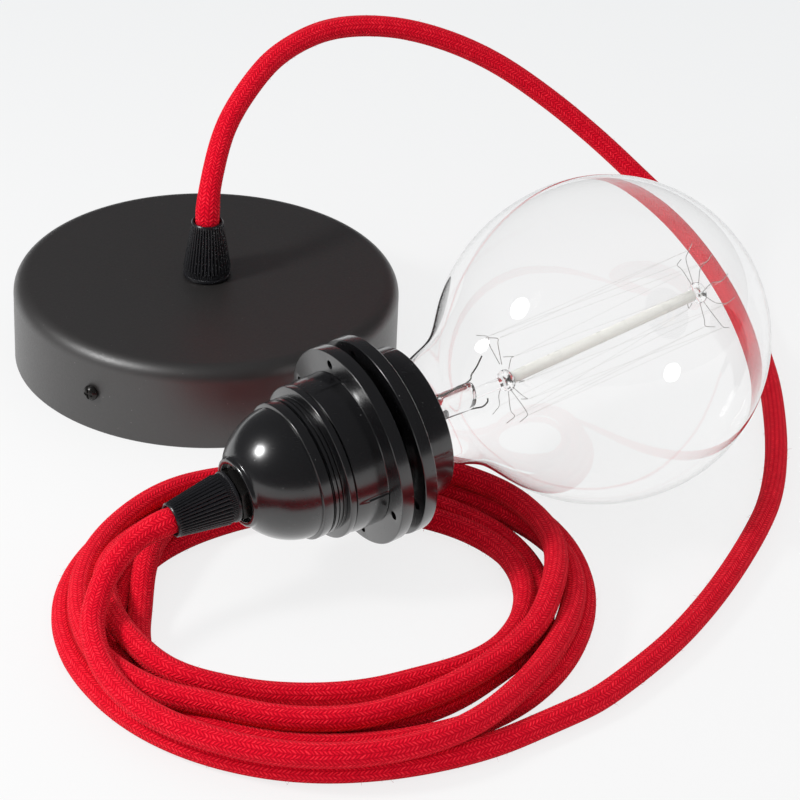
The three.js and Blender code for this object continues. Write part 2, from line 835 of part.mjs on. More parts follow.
// A shade ring: a flange for the shade and a collar to turn it by. It is made with its flange at
// the bottom, at height 0, and pads at the given pairs of angles
function shadeRing(pads, holeDirection) {
  const bore = shellRadius + fit;
  const body = turned([
    [bore, 0],
    [ringRadius - ringEdge, 0],
    [ringRadius, ringEdge],
    [ringRadius, ringFlange - ringEdge],
    [ringRadius - ringEdge, ringFlange],
    [ringCollarRadius, ringFlange],
    [ringCollarRadius, ringHeight],
    [bore, ringHeight],
    [bore, 0],
  ], ringSegments);
  const padLow = ringFlange - 0.5;
  const raised = pads.map(([from, to]) => collarPad(from, to, padLow, ringHeight - 0.8));
  const holes = [];
  for (const middle of [holeDirection, holeDirection + 180]) {
    for (const side of [-1, 1]) {
      const hole = disc(ringHoleRadius, -1, ringFlange + 1, tinySegments);
      holes.push(hole.translate(ringHoleCircle, 0, 0).rotateZ(degrees(middle + side * ringHoleSpread)));
    }
  }
  return cut(join([body, ...raised]), holes);
}

function holderDome() {
  const centre = domeLow + domeCentre;
  const bossTop = centre + bossHeight;
  const bossMeets = Math.sqrt(domeRadius ** 2 - bossRadius ** 2);
  const from = (Math.asin((domeRimLength - domeCentre) / domeRadius) * 180) / Math.PI;
  const to = (Math.asin(bossMeets / domeRadius) * 180) / Math.PI;
  const inner = domeRadius - domeWall;
  const roof = bossTop - bossDepth - bossWall;
  const innerTop = (Math.asin((roof - centre) / inner) * 180) / Math.PI;
  const hole = stemRadius + fit;
  const rimBore = spigotRadius + fit;
  const rimEnd = domeLow + spigotLength + fit;
  const innerLow = (Math.asin((rimEnd + 0.6 - centre) / inner) * 180) / Math.PI;
  return turned([
    [rimBore, domeLow],
    [domeRimRadius, domeLow],
    [domeRimRadius, domeLow + domeRimLength - 0.3],
    ...arc(domeRadius, centre, from, to, 6),
    [bossRadius, bossTop - 0.5],
    [bossRadius - 0.5, bossTop],
    [bossRimInner, bossTop],
    [bossRimInner, bossTop - bossDepth],
    [hole, bossTop - bossDepth],
    [hole, roof],
    ...arc(inner, centre, innerTop, innerLow, 3),
    [rimBore - 0.4, rimEnd],
    [rimBore, rimEnd - 0.4],
    [rimBore, domeLow],
  ], mediumSegments);
}

const recessFloor = domeLow + domeCentre + bossHeight - bossDepth;
const holderNutLow = recessFloor + fit;
const holderGripLow = holderNutLow + holderNutHeight + fit;
const holderGripTop = holderGripLow + gripLength;
const holderStemHigh = holderGripLow + gripThreadDepth - fit;
const holderStemLow = holderStemHigh - holderStemLength;
const holderCordEnd = holderStemLow + 9;

const terminalSeat = insertFace + insertThickness + fit;

function contactInsert() {
  const body = disc(insertRadius, insertFace, insertFace + insertThickness, 24);
  const beyond = insertFace + insertThickness + 1;
  const holes = [-1, 1].map((side) => {
    const hole = disc(terminalShankRadius + fit, insertFace - 1, beyond, tinySegments);
    return hole.translate(side * terminalDistance, 0, 0);
  });
  return cut(body, holes);
}

function terminalScrew(side) {
  const low = terminalSeat - terminalShankLength;
  const screw = panScrew(
    terminalHeadRadius, terminalHeadHeight, terminalShankRadius, low, terminalSeat,
  );
  return screw.translate(side * terminalDistance, 0, 0);
}

// A leaf spring, bent from strip: the outline lies in the plane of the axis
function contactLeaf(points) {
  const leaf = new THREE.Shape(points.map(([x, z]) => new THREE.Vector2(x, z)));
  const strip = new THREE.ExtrudeGeometry(leaf, { depth: contactWidth, bevelEnabled: false });
  return strip.rotateX(Math.PI / 2).translate(0, contactWidth / 2, 0);
}

function centreContact() {
  const t = contactThickness;
  const foot = insertFace - fit;
  const top = tipEnd + fit;
  return contactLeaf([
    [-7, foot], [-7, foot - t], [-2.5, top], [2.5, top], [2.5, top + t], [-2.2, top + t], [-5.6, foot],
  ]);
}

function sideContact() {
  const t = contactThickness;
  const foot = insertFace - fit;
  const outer = shellThreadBore - 1;
  const top = capEnd + fit;
  const inner = outer - t;
  return contactLeaf([
    [outer, foot], [8, foot], [8, foot - t], [inner, foot - t], [inner, top], [outer, top],
  ]);
}

function holderCore(side) {
  const start = holderCordEnd - 2 * fit;
  const low = holderStemLow - 1;
  const at = terminalSeat + terminalHeadHeight;
  const beside = terminalHeadRadius + coreRadius + fit + 0.2;
  return bar([
    [side * coreSpread, 0, start],
    [side * coreSpread, 0, low],
    [side * 4, 1.5, low - 4],
    [side * (terminalDistance - 1), beside, at + 2],
    [side * terminalDistance, beside, terminalSeat + coreRadius],
  ], coreRadius, 10, 5);
}

function holder() {
  const group = new THREE.Group();
  group.add(named("holder_shell", holderShell(), "blackPlastic"));
  group.add(named("holder_dome", holderDome(), "blackPlastic"));
  // The front ring lies the other way round, with its flange towards the cord
  const front = shadeRing(frontPads.map(([from, to]) => [-to, -from]), -ringHoleDirection);
  front.rotateX(Math.PI).translate(0, 0, frontRingLow + ringHeight);
  const rear = shadeRing(rearPads, ringHoleDirection).translate(0, 0, rearRingLow);
  group.add(named("shade_ring_front", front, "blackPlastic"));
  group.add(named("shade_ring_rear", rear, "blackPlastic"));
  group.add(named("contact_insert", contactInsert(), "ceramic"));
  group.add(named("centre_contact", centreContact(), "brass"));
  group.add(named("side_contact", sideContact(), "brass"));
  group.add(named("holder_terminal_screw_live", terminalScrew(-1), "brass"));
  group.add(named("holder_terminal_screw_neutral", terminalScrew(1), "brass"));
  group.add(named("holder_core_live", holderCore(-1), "brownCore"));
  group.add(named("holder_core_neutral", holderCore(1), "blueCore"));
  const grip = gripCap().translate(0, 0, holderGripLow);
  group.add(named("holder_grip_stem", gripStem(holderStemLow, holderStemHigh), "gripPlastic"));
  group.add(named("holder_lock_nut", lockNut(holderNutLow, holderNutHeight), "steel"));
  group.add(named("holder_grip_cap", grip, "gripPlastic"));
  return group;
}

// The holder's axis, from the cord towards the bulb, and its frame: x level, y up, z to the cord
const azimuth = degrees(holderAzimuth);
const tilt = degrees(holderTilt);
const forward = new THREE.Vector3(
  Math.cos(azimuth) * Math.cos(tilt), Math.sin(azimuth) * Math.cos(tilt), Math.sin(tilt),
);
const level = new THREE.Vector3(Math.sin(azimuth), -Math.cos(azimuth), 0);
const upward = new THREE.Vector3().crossVectors(level, forward);
const globeCentre = new THREE.Vector3(bulbX, bulbY, globeRadius);

function onAxis(station) {
  return globeCentre.clone().addScaledVector(forward, -station).toArray();
}

// Cord

// From inside the canopy's stem up into the arch, down behind the bulb and along the table
const runRoute = [
  [0, 0, cordEnd],
  [0, 0, gripTop - 9],
  [0, 0, gripTop],
  [0, 0.6, gripTop + 4],
  [0.6, 5, 56.5],
  [4, 18, 69],
  [11.5, 32, 78.5],
  [20, 44, 84],
  [34, 56, 87],
  [52, 65, 85],
  [70, 71, 79],
  [88, 76.5, 69],
  [106, 79, 56],
  [123, 78.5, 42.5],
  [138, 75.5, 30],
  [150, 70.5, 20.5],
  [160, 62, 12],
  [167.5, 49, 6],
  [172, 33, 3.6],
  [175, 12, cordRadius],
  [176.8, -10, cordRadius],
  [176.8, -32, cordRadius],
  [175.5, -54, cordRadius],
  [172.5, -75, cordRadius],
  [167.7, -92.7, cordRadius],
  [158, -117.8, cordRadius],
  [147.5, -140, cordRadius],
  [136, -159.5, cordRadius],
  [119.4, -181.4, cordRadius],
];

// From the top of the coil up into the holder's grip
const tailRoute = [
  [-16.7, -170.2, coilHeight + fit + cordRadius],
  [-15.7, -166.1, 20],
  [-13.5, -160.3, 23.5],
  [-9.8, -154, 26],
  onAxis(holderGripTop + 7),
  onAxis(holderGripTop + 2),
  onAxis(holderGripTop - 5),
  onAxis(holderCordEnd),
];

function cordCoil() {
  const edge = cordRadius;
  const ringBody = turned([
    [coilInnerRadius, edge],
    [coilInnerRadius + edge / 3, edge / 4],
    [coilInnerRadius + edge, 0],
    [coilOuterRadius - edge, 0],
    [coilOuterRadius - edge / 3, edge / 4],
    [coilOuterRadius, edge],
    [coilOuterRadius, coilHeight - edge],
    [coilOuterRadius - edge, coilHeight],
    [coilInnerRadius + edge, coilHeight],
    [coilInnerRadius, coilHeight - edge],
    [coilInnerRadius, edge],
  ], mediumSegments);
  ringBody.translate(coilX, coilY, 0);
  const reach = 2 * coilOuterRadius;
  const above = box(coilLowX, coilX + reach, coilLowY, coilY + reach, coilLowHeight, 2 * coilHeight);
  return cut(ringBody, [above]);
}

const set = new THREE.Group();
set.add(canopy());

const lying = new THREE.Group();
const frame = new THREE.Matrix4().makeBasis(level, upward, forward.clone().negate());
lying.quaternion.setFromRotationMatrix(frame);
lying.position.copy(globeCentre);
lying.add(bulb(), holder());
set.add(lying);

set.add(named("cord_run", bar(runRoute, cordRadius, 50, 8), "redBraid"));
set.add(named("cord_coil", cordCoil(), "redBraid"));
set.add(named("cord_tail", bar(tailRoute, cordRadius, 12, 8), "redBraid"));

export default set;
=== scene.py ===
# The looks of a pendant cord set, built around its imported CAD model.
import math

import bmesh
import bpy
import numpy as np
from mathutils import Matrix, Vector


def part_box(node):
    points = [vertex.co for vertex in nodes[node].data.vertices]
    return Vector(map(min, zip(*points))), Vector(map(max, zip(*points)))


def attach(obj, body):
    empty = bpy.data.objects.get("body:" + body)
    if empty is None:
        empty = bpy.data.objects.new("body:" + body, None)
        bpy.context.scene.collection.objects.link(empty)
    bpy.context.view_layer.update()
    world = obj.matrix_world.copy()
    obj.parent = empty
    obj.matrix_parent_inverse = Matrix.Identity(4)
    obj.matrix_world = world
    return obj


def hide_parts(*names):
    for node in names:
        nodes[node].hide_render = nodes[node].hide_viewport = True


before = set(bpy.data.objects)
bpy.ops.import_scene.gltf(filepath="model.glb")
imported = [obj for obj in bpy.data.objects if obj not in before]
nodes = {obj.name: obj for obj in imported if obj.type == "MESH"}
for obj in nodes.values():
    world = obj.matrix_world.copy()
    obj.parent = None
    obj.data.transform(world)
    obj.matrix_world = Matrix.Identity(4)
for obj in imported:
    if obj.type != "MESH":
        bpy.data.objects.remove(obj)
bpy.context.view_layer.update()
mm = 0.001

# Mounting bracket, nuts and washer. Zinc-plated steel, stamped and bent, under the canopy cup: the
# strap is screwed to the ceiling, and the nut holds the cord grip's stem in the cup.
# The small screws have the same plating, and the bulb's soldered tip looks much like it.


def material(name, colour, roughness, metallic=0.0):
    """A new material with a Principled shader: returns it, its node tree and the shader."""
    made = bpy.data.materials.new(name)
    made.use_nodes = True
    tree = made.node_tree
    shader = tree.nodes["Principled BSDF"]
    shader.inputs["Base Color"].default_value = (*colour, 1)
    shader.inputs["Roughness"].default_value = roughness
    shader.inputs["Metallic"].default_value = metallic
    return made, tree, shader


def node(tree, kind, inputs=None, **settings):
    """A shader node with its settings, and with values or links from a dict of its inputs."""
    made = tree.nodes.new(kind)
    for key, value in settings.items():
        setattr(made, key, value)
    for key, value in (inputs or {}).items():
        if isinstance(value, bpy.types.NodeSocket):
            tree.links.new(value, made.inputs[key])
        else:
            made.inputs[key].default_value = value
    return made


def maths(tree, operation, *values):
    """One Math node with its values in order; returns its output."""
    return node(tree, "ShaderNodeMath", dict(enumerate(values)), operation=operation).outputs[0]


def spread(tree, value, low, high, to_low, to_high):
    """A Map Range node that carries low..high over to to_low..to_high; returns its output."""
    return node(tree, "ShaderNodeMapRange", {"Value": value, "From Min": low, "From Max": high,
                                             "To Min": to_low, "To Max": to_high}).outputs[0]


def dress(piece, made):
    """Gives a piece its one material."""
    piece.data.materials.clear()
    piece.data.materials.append(made)


def shader_group(name, inputs, outputs):
    """A new shader node group, with names for its plain number inputs, and names and socket types for
    its outputs: returns it, its input and output nodes, and the Object coordinates inside it."""
    group = bpy.data.node_groups.new(name, "ShaderNodeTree")
    for socket in inputs:
        group.interface.new_socket(socket, in_out="INPUT", socket_type="NodeSocketFloat")
    for socket, kind in outputs.items():
        group.interface.new_socket(socket, in_out="OUTPUT", socket_type=kind)
    start = group.nodes.new("NodeGroupInput")
    end = group.nodes.new("NodeGroupOutput")
    return group, start, end, node(group, "ShaderNodeTexCoord").outputs["Object"]


def speckle_group():
    """Shader group: fine dust. The cells of a Voronoi pattern hold one small dot each; the mask is 1
    where the distance to the cell's centre is under Size, and the cell's random colour keeps four
    cells in five empty."""
    group, start, end, place = shader_group("fine dust", ["Scale", "Size"],
                                            {"Mask": "NodeSocketFloat"})
    cells = node(group, "ShaderNodeTexVoronoi", {"Vector": place, "Scale": start.outputs["Scale"]})
    near = maths(group, "LESS_THAN", cells.outputs["Distance"], start.outputs["Size"])
    chosen = node(group, "ShaderNodeSeparateColor", {"Color": cells.outputs["Color"]})
    empty_share = 0.8
    some = maths(group, "GREATER_THAN", chosen.outputs[0], empty_share)
    group.links.new(maths(group, "MULTIPLY", near, some), end.inputs["Mask"])
    return group


def grain_group():
    """Shader group: moulding or paint grain. A noise at Scale, times Strength, as a bump normal."""
    group, start, end, place = shader_group("surface grain", ["Scale", "Strength"],
                                            {"Value": "NodeSocketFloat",
                                             "Normal": "NodeSocketVector"})
    noise = node(group, "ShaderNodeTexNoise",
                 {"Vector": place, "Scale": start.outputs["Scale"], "Detail": 5.0, "Roughness": 0.6})
    bump = node(group, "ShaderNodeBump", {"Strength": start.outputs["Strength"], "Distance": 0.0002,
                                          "Height": noise.outputs["Fac"]})
    group.links.new(noise.outputs["Fac"], end.inputs["Value"])
    group.links.new(bump.outputs["Normal"], end.inputs["Normal"])
    return group


dust = speckle_group()
grain = grain_group()
speck_size = 0.07


def grained(name, colour, scale, strength, rough, metallic=0.0):
    """A new material with the grain group on it: its normal, and a roughness that runs between the
    two values of rough. Returns the material, its node tree and the shader."""
    made, tree, shader = material(name, colour, rough[0], metallic)
    relief = node(tree, "ShaderNodeGroup", {"Scale": scale, "Strength": strength}, node_tree=grain)
    roughness = spread(tree, relief.outputs["Value"], 0.35, 0.65, *rough)
    tree.links.new(roughness, shader.inputs["Roughness"])
    tree.links.new(relief.outputs["Normal"], shader.inputs["Normal"])
    return made, tree, shader


def add_dust(tree, shader, base, speck, scale):
    """Mixes pale dust specks into a shader's base colour."""
    specks = node(tree, "ShaderNodeGroup", {"Scale": scale, "Size": speck_size}, node_tree=dust)
    mix = node(tree, "ShaderNodeMix", {"Factor": specks.outputs["Mask"], "A": (*base, 1),
                                       "B": (*speck, 1)}, data_type="RGBA")
    tree.links.new(mix.outputs["Result"], shader.inputs["Base Color"])


zinc = grained("zinc plated steel", (0.55, 0.56, 0.57), 900.0, 0.15, (0.25, 0.42), 1.0)[0]
for name in ["mounting_bracket", "canopy_lock_washer", "canopy_lock_nut", "terminal_block_screw",
             "earth_screw", "bulb_tip_contact"]:
    dress(nodes[name], zinc)
for pole in (1, 2, 3):
    for end in ("a", "b"):
        dress(nodes[f"clamp_screw_{pole}{end}"], zinc)

# Terminal block, tubes, tag and contacts. The block is moulded white plastic, the tubes, the earth
# tag, the holder's contact strips and its terminal screws are brass, turned or stamped from sheet.
# The contact insert of the holder is pressed from steatite, an unglazed ceramic.

white_plastic = grained("white moulding", (0.85, 0.84, 0.8), 500.0, 0.1, (0.42, 0.55))[0]
dress(nodes["terminal_block"], white_plastic)
brass = grained("bright brass", (0.72, 0.52, 0.2), 700.0, 0.1, (0.2, 0.36), 1.0)[0]
for name in ["terminal_tube_1", "terminal_tube_2", "terminal_tube_3", "earth_tag", "centre_contact",
             "side_contact", "holder_terminal_screw_live", "holder_terminal_screw_neutral"]:
    dress(nodes[name], brass)
steatite = grained("steatite", (0.8, 0.76, 0.68), 300.0, 0.3, (0.55, 0.7))[0]
dress(nodes["contact_insert"], steatite)

# Cores of the cord, inside the canopy and the holder. Copper strands in coloured plastic: brown is
# live, blue is neutral, green is the earth, which only the canopy has a terminal for.

core_colours = {"live_core": (0.12, 0.045, 0.02), "neutral_core": (0.02, 0.11, 0.4),
                "earth_core": (0.22, 0.42, 0.03)}
core_nodes = {"live_core": ["canopy_core_live", "holder_core_live"],
              "neutral_core": ["canopy_core_neutral", "holder_core_neutral"],
              "earth_core": ["canopy_core_earth"]}
for slot, colour in core_colours.items():
    plastic = grained(slot.replace("_", " "), colour, 600.0, 0.1, (0.42, 0.55))[0]
    for name in core_nodes[slot]:
        dress(nodes[name], plastic)

# Canopy cup. Deep-drawn sheet steel with a soft edge, painted matt black with a fine powder grain;
# a little pale dust lies on it. Two side screws hold it to the bracket's ears.


def put(name, data):
    """A new object of the scene from a mesh, a lamp or a camera."""
    made = bpy.data.objects.new(name, data)
    bpy.context.scene.collection.objects.link(made)
    return made


def finished(name, mesh, sharp=40.0):
    """Makes a mesh a piece of the set: smooth, but with edges sharp past an angle in degrees."""
    mesh.shade_smooth()
    mesh.set_sharp_from_angle(angle=math.radians(sharp))
    piece = put(name, mesh)
    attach(piece, "root")
    return piece


def surface(name, points, uv=None, sharp=40.0):
    """A closed mesh from a grid of points, of shape (rows, columns, 3). Columns wrap round, and so do
    rows unless the first and the last row lie on the axis, where each row shrinks to one point.
    Coincident points are merged and the faces are turned outwards. uv has shape (rows, columns, 2)
    for a surface whose columns run once round: its last column is written as column zero plus one."""
    rows, columns = points.shape[:2]
    poles = all(np.ptp(points[end], axis=0).max() < 1e-9 for end in (0, -1))
    last_row = rows - 1 if poles or uv is not None else rows
    row, column = np.meshgrid(np.arange(last_row), np.arange(columns), indexing="ij")
    below, beside = (row + 1) % rows, (column + 1) % columns
    corners = [row * columns + column, row * columns + beside,
               below * columns + beside, below * columns + column]
    faces = np.stack(corners, axis=-1).reshape(-1, 4)
    mesh = bpy.data.meshes.new(name)
    mesh.from_pydata(points.reshape(-1, 3), [], faces.tolist())
    if uv is not None:
        turn = np.stack([column, column + 1, column + 1, column], axis=-1) / columns
        along = uv[np.stack([row, row, below, below], axis=-1), 0, 1]
        loops = np.stack([turn, along], axis=-1).reshape(-1).astype(np.float32)
        mesh.uv_layers.new(name="around and along").data.foreach_set("uv", loops)
    shell = bmesh.new()
    shell.from_mesh(mesh)
    bmesh.ops.remove_doubles(shell, verts=shell.verts, dist=1e-7)
    if uv is not None:
        bmesh.ops.holes_fill(shell, edges=shell.edges, sides=0)
    bmesh.ops.recalc_face_normals(shell, faces=shell.faces)
    shell.to_mesh(mesh)
    shell.free()
    return finished(name, mesh, sharp)


def rounded(profile, radius, steps=4):
    """A profile of [radius, height] points in millimetres with its corners rounded: each corner c
    becomes the curve (1-t)^2 a + 2t(1-t) c + t^2 b, with a and b that far from it on its edges."""
    profile = np.array(profile, float)
    curve = [profile[:1]]
    t = np.linspace(0, 1, steps)[:, None]
    for before, corner, after in zip(profile[:-2], profile[1:-1], profile[2:]):
        back, on = before - corner, after - corner
        a = corner + back * min(radius / np.linalg.norm(back), 0.45)
        b = corner + on * min(radius / np.linalg.norm(on), 0.45)
        curve.append((1 - t) ** 2 * a + 2 * t * (1 - t) * corner + t**2 * b)
    curve.append(profile[-1:])
    return np.concatenate(curve)


def turned(profile, segments, change=None):
    """Points of a lathe surface: (r cos a, r sin a, z) for each profile point and angle a, in metres.
    change(r, z, a) may return another radius, for flutes, threads or pads."""
    r, z = np.asarray(profile, float).T[:, :, None]
    angle = 2 * np.pi * np.arange(segments)[None, :] / segments
    r = r + 0 * angle
    z = z + 0 * angle
    if change is not None:
        r = np.where(r > 0, change(r, z, angle), 0)
    return np.stack([r * np.cos(angle), r * np.sin(angle), z], axis=-1) * mm


cup_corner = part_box("canopy_cup")[1]
cup_radius = cup_corner.x / mm
cup_height = cup_corner.z / mm
cup_wall = 1.2
cup_edge = 5.0
stem_radius = 5.0
seat_gap = 0.3
black_paint_colour = (0.0195, 0.0175, 0.0168)


def cup_profile():
    """Up the outside, round a quarter circle of the edge's radius, over the flat top to the hole,
    and back down the inside one wall further in; it ends where it starts."""
    bend = np.radians(np.linspace(0, 90, 14))
    centre = np.array([cup_radius - cup_edge, cup_height - cup_edge])
    arc = np.stack([np.cos(bend), np.sin(bend)], axis=-1)
    inner = cup_radius - cup_wall
    hole = stem_radius + seat_gap
    rim = [[inner, 0], [inner + 0.2, 0], [cup_radius - 0.3, 0], [cup_radius, 0.3], [cup_radius, 8],
           [cup_radius, 16]]
    top = [[30, cup_height], [8, cup_height], [hole, cup_height], [hole, cup_height - cup_wall],
           [30, cup_height - cup_wall]]
    inside = (centre + arc * (cup_edge - cup_wall))[::-1]
    return np.concatenate([rim, centre + arc * cup_edge, top, inside, [[inner, 10]]])


cup = surface("canopy_cup_skin", turned(cup_profile(), 160))
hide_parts("canopy_cup")
black_paint, tree, shader = grained("matt black paint", black_paint_colour, 1500.0, 0.3,
                                    (0.42, 0.52))
shader.inputs["Specular IOR Level"].default_value = 0.8
shader.inputs["Coat Weight"].default_value = 0.6
shader.inputs["Coat Roughness"].default_value = 0.43
add_dust(tree, shader, black_paint_colour, (0.12, 0.115, 0.11), 450.0)
dress(cup, black_paint)

# Side screws of the canopy. Blackened steel machine screws with a domed head and a cross recess,
# through the cup's wall into the ears of the bracket; one faces the viewer, the other is opposite.

screw_azimuth = math.radians(-120.4)
screw_height = 13.2
screw_head_radius = 2.4
screw_head_height = 2.0
cross_half_width = 0.28
cross_reach = 1.45


def cross_head(sign):
    """Screw head as a disc of polar points: at radius r it rises by h (1 - 0.65 (r/R)^3), less a
    cross exp(-(w / half width)^4) millimetres deep, where w is the distance to the nearer arm of the
    cross. The axis is then laid along the screw's azimuth."""
    share = np.concatenate([[0], np.linspace(0.08, 1, 16), [1, 1, 0]])[:, None]
    angle = 2 * np.pi * np.arange(64)[None, :] / 64
    r = screw_head_radius * share
    x, y = r * np.cos(angle), r * np.sin(angle)
    arm = np.minimum(np.abs(x), np.abs(y))
    dome = screw_head_height * (0.35 + 0.65 * (1 - share**3))
    recess = np.exp(-(arm / cross_half_width) ** 4) * (r < cross_reach)
    rise = dome - recess
    rise[-2:] = 0
    out = np.stack([np.cos(screw_azimuth), np.sin(screw_azimuth)]) * sign
    far = (cup_radius + seat_gap + rise) * mm
    return np.stack([far * out[0] - x * out[1] * mm, far * out[1] + x * out[0] * mm,
                     (screw_height + y) * mm], axis=-1)


screw_steel = grained("blackened steel", (0.02, 0.019, 0.018), 1200.0, 0.1, (0.18, 0.3), 0.6)[0]
for name, sign in (("side_screw_front", 1), ("side_screw_rear", -1)):
    head = surface(name + "_head", cross_head(sign))
    dress(head, screw_steel)
    dress(nodes[name], screw_steel)

# Lock nut of the holder. Steel like the canopy's nut, but dressed in the side screws' dark steel; a
# sliver of it shows between
#  the dome and the grip, in the recess of the dome's boss.

dress(nodes["holder_lock_nut"], screw_steel)

# Cord grips, one on the canopy and one on the holder. Each is a moulded black cone on a short collar,
# ribbed all round so that fingers can turn it, screwed onto a threaded stem that clamps the cord.

grip_base_radius = 7.4
grip_collar_radius = 7.1
grip_cone_radius = 7.35
grip_tip_radius = 5.0
grip_length = 18.5
grip_ribs = 38
rib_depth = 0.7
cord_radius = 3.4
grip_colour = (0.009, 0.009, 0.011)


def wall_line(radius, heights):
    """Profile points [radius, height], with one radius for all heights or one for each."""
    return np.stack(np.broadcast_arrays(radius, heights), axis=-1)


def grip_points():
    """Lathe surface whose radius is less by d (1 - |sin(n a / 2)|^0.6) between n ribs, fading in over
    the collar and out again before the plain rim at the tip; finer ribs run round the collar."""
    outside = [[6.9, 0], [grip_base_radius, 0.25], [grip_base_radius, 0.8], [7.05, 1.0]]
    collar = wall_line(grip_collar_radius, np.linspace(1.15, 2.7, 6))
    t = np.linspace(0, 1, 26)
    cone = wall_line(grip_cone_radius + (grip_tip_radius - grip_cone_radius) * t,
                     2.9 + (grip_length - 3.4) * t)
    tip = [[grip_tip_radius - 0.05, grip_length - 0.3], [grip_tip_radius - 0.35, grip_length],
           [cord_radius + 0.95, grip_length], [cord_radius + 0.7, grip_length - 0.4],
           [cord_radius + 0.15, grip_length - 2.5], [cord_radius + 0.15, 10], [5.3, 9], [5.3, 0],
           [6.9, 0]]
    profile = np.concatenate([outside, collar, cone, tip])

    def ribbed(r, z, a):
        outer = (r > 4.7) & (z > 1.05) & (z < grip_length - 0.6) & (r > 5.35 - 0.6 * (z > 9.5))
        on_collar = z < 2.8
        count = np.where(on_collar, 2 * grip_ribs, grip_ribs)
        valley = 1 - np.abs(np.sin(count * a / 2)) ** 0.6
        fade = np.clip((grip_length - 0.7 - z) / 0.6, 0, 1)
        depth = np.where(on_collar, 0.25, rib_depth * fade * (0.7 + 0.3 * (r / grip_cone_radius)))
        return r - np.where(outer, depth * valley, 0)

    return turned(profile, grip_ribs * 12, ribbed)


grip_plastic, tree, shader = grained("ribbed black moulding", grip_colour, 900.0, 0.12, (0.24, 0.36))
add_dust(tree, shader, grip_colour, (0.1, 0.1, 0.1), 600.0)
canopy_grip_base = np.array([0, 0, (cup_height + seat_gap) * mm])
canopy_grip = surface("canopy_grip", grip_points() + canopy_grip_base)
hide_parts("canopy_grip_cap")
dress(canopy_grip, grip_plastic)
dress(nodes["canopy_grip_stem"], grip_plastic)
dress(nodes["holder_grip_stem"], grip_plastic)

# The holder and its bulb lie on one axis, the bulb's end up a little. Places on it are stations, in
# millimetres from the middle of the globe towards the cord, and x and y across it.

globe_centre = np.array([120.9, -66.2, 47.5]) * mm
holder_azimuth = math.radians(33.5)
holder_tilt = math.radians(7.33)
forward = np.array([math.cos(holder_azimuth) * math.cos(holder_tilt),
                    math.sin(holder_azimuth) * math.cos(holder_tilt), math.sin(holder_tilt)])
level = np.array([math.sin(holder_azimuth), -math.cos(holder_azimuth), 0.0])
upward = np.cross(level, forward)


def on_axis(points):
    """Moves points from the holder's own frame, (across, up, station) in metres, to the row frame."""
    return globe_centre + points @ np.stack([level, upward, -forward])


holder_grip_start = 126.2
holder_grip_base = np.array([0, 0, holder_grip_start * mm])
holder_grip = surface("holder_grip", on_axis(grip_points() + holder_grip_base))
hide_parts("holder_grip_cap")
dress(holder_grip, grip_plastic)

# Dome, shell and shade rings of the holder. Glossy black moulded plastic, compression moulded, so the
# edges are crisp with a fine chamfer, and handling has left hair scratches and dust on it.
# The dome screws onto the shell, and the two rings screw over the shell and clamp a shade.

gloss_colour = (0.005, 0.005, 0.0057)
gloss, tree, shader = material("glossy black moulding", gloss_colour, 0.1)
shader.inputs["Coat Weight"].default_value = 0.75
shader.inputs["Coat IOR"].default_value = 1.6
shader.inputs["Coat Roughness"].default_value = 0.26
place = node(tree, "ShaderNodeTexCoord").outputs["Object"]
stretched = node(tree, "ShaderNodeMapping", {"Vector": place, "Rotation": (0.5, 0.9, 0.3),
                                             "Scale": (260.0, 2600.0, 900.0)})
hairs = node(tree, "ShaderNodeTexNoise", {"Vector": stretched.outputs[0], "Scale": 1.0, "Detail": 3.0})
scratch = spread(tree, hairs.outputs["Fac"], 0.62, 0.74, 0.0, 1.0)
cloud = node(tree, "ShaderNodeTexNoise", {"Vector": place, "Scale": 90.0, "Detail": 4.0})
haze = spread(tree, cloud.outputs["Fac"], 0.35, 0.7, 0.13, 0.24)
scratch_share = 0.14
rough = maths(tree, "MULTIPLY_ADD", scratch, scratch_share, haze)
relief = node(tree, "ShaderNodeBump", {"Strength": 0.12, "Distance": 0.00004, "Height": scratch})
tree.links.new(rough, shader.inputs["Roughness"])
tree.links.new(relief.outputs["Normal"], shader.inputs["Normal"])
add_dust(tree, shader, gloss_colour, (0.2, 0.2, 0.2), 600.0)

dome_start = 104.9
dome_centre = 106.8
dome_radius = 19.2
dome_inner_radius = 17.0
boss_top = 124.2


def dome_profile():
    """The rim, a step up to a sphere's arc, the boss round the stem with its recess, and back along
    the inside; it ends where it starts."""
    bend = np.radians(np.linspace(4, 56.5, 30))
    sphere = np.stack([dome_radius * np.cos(bend), dome_centre + dome_radius * np.sin(bend)], axis=-1)
    inner_bend = np.radians(np.linspace(40, 14, 8))
    inner = np.stack([dome_inner_radius * np.cos(inner_bend),
                      dome_centre + dome_inner_radius * np.sin(inner_bend)], axis=-1)
    rim = rounded([[18.5, dome_start + 1], [18.5, dome_start], [20.1, dome_start], [20.1, 107.9],
                   [19.3, 108.1]], 0.25)
    boss = rounded([sphere[-1], [10.35, boss_top - 1.2], [10.0, boss_top], [8.6, boss_top],
                    [8.6, 122.0], [5.3, 122.0], [5.3, 117.8], [12.5, 117.8]], 0.35)
    mouth = [[18.0, 110.4], [18.5, 110.0]]
    return np.concatenate([rim, sphere[:-1], boss[1:], inner, mouth, [[18.5, dome_start + 1]]])


dome = surface("holder_dome_skin", on_axis(turned(dome_profile(), 144)))
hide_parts("holder_dome")
dress(dome, gloss)

shell_mouth = 68.2
shoulder_start = 98.9
thread_pitch = 2.0
thread_radius = 19.55
thread_depth = 0.45
neck_radius = 20.0
groove_depth = 0.55
groove_pitch = 1.3
first_groove = 101.75


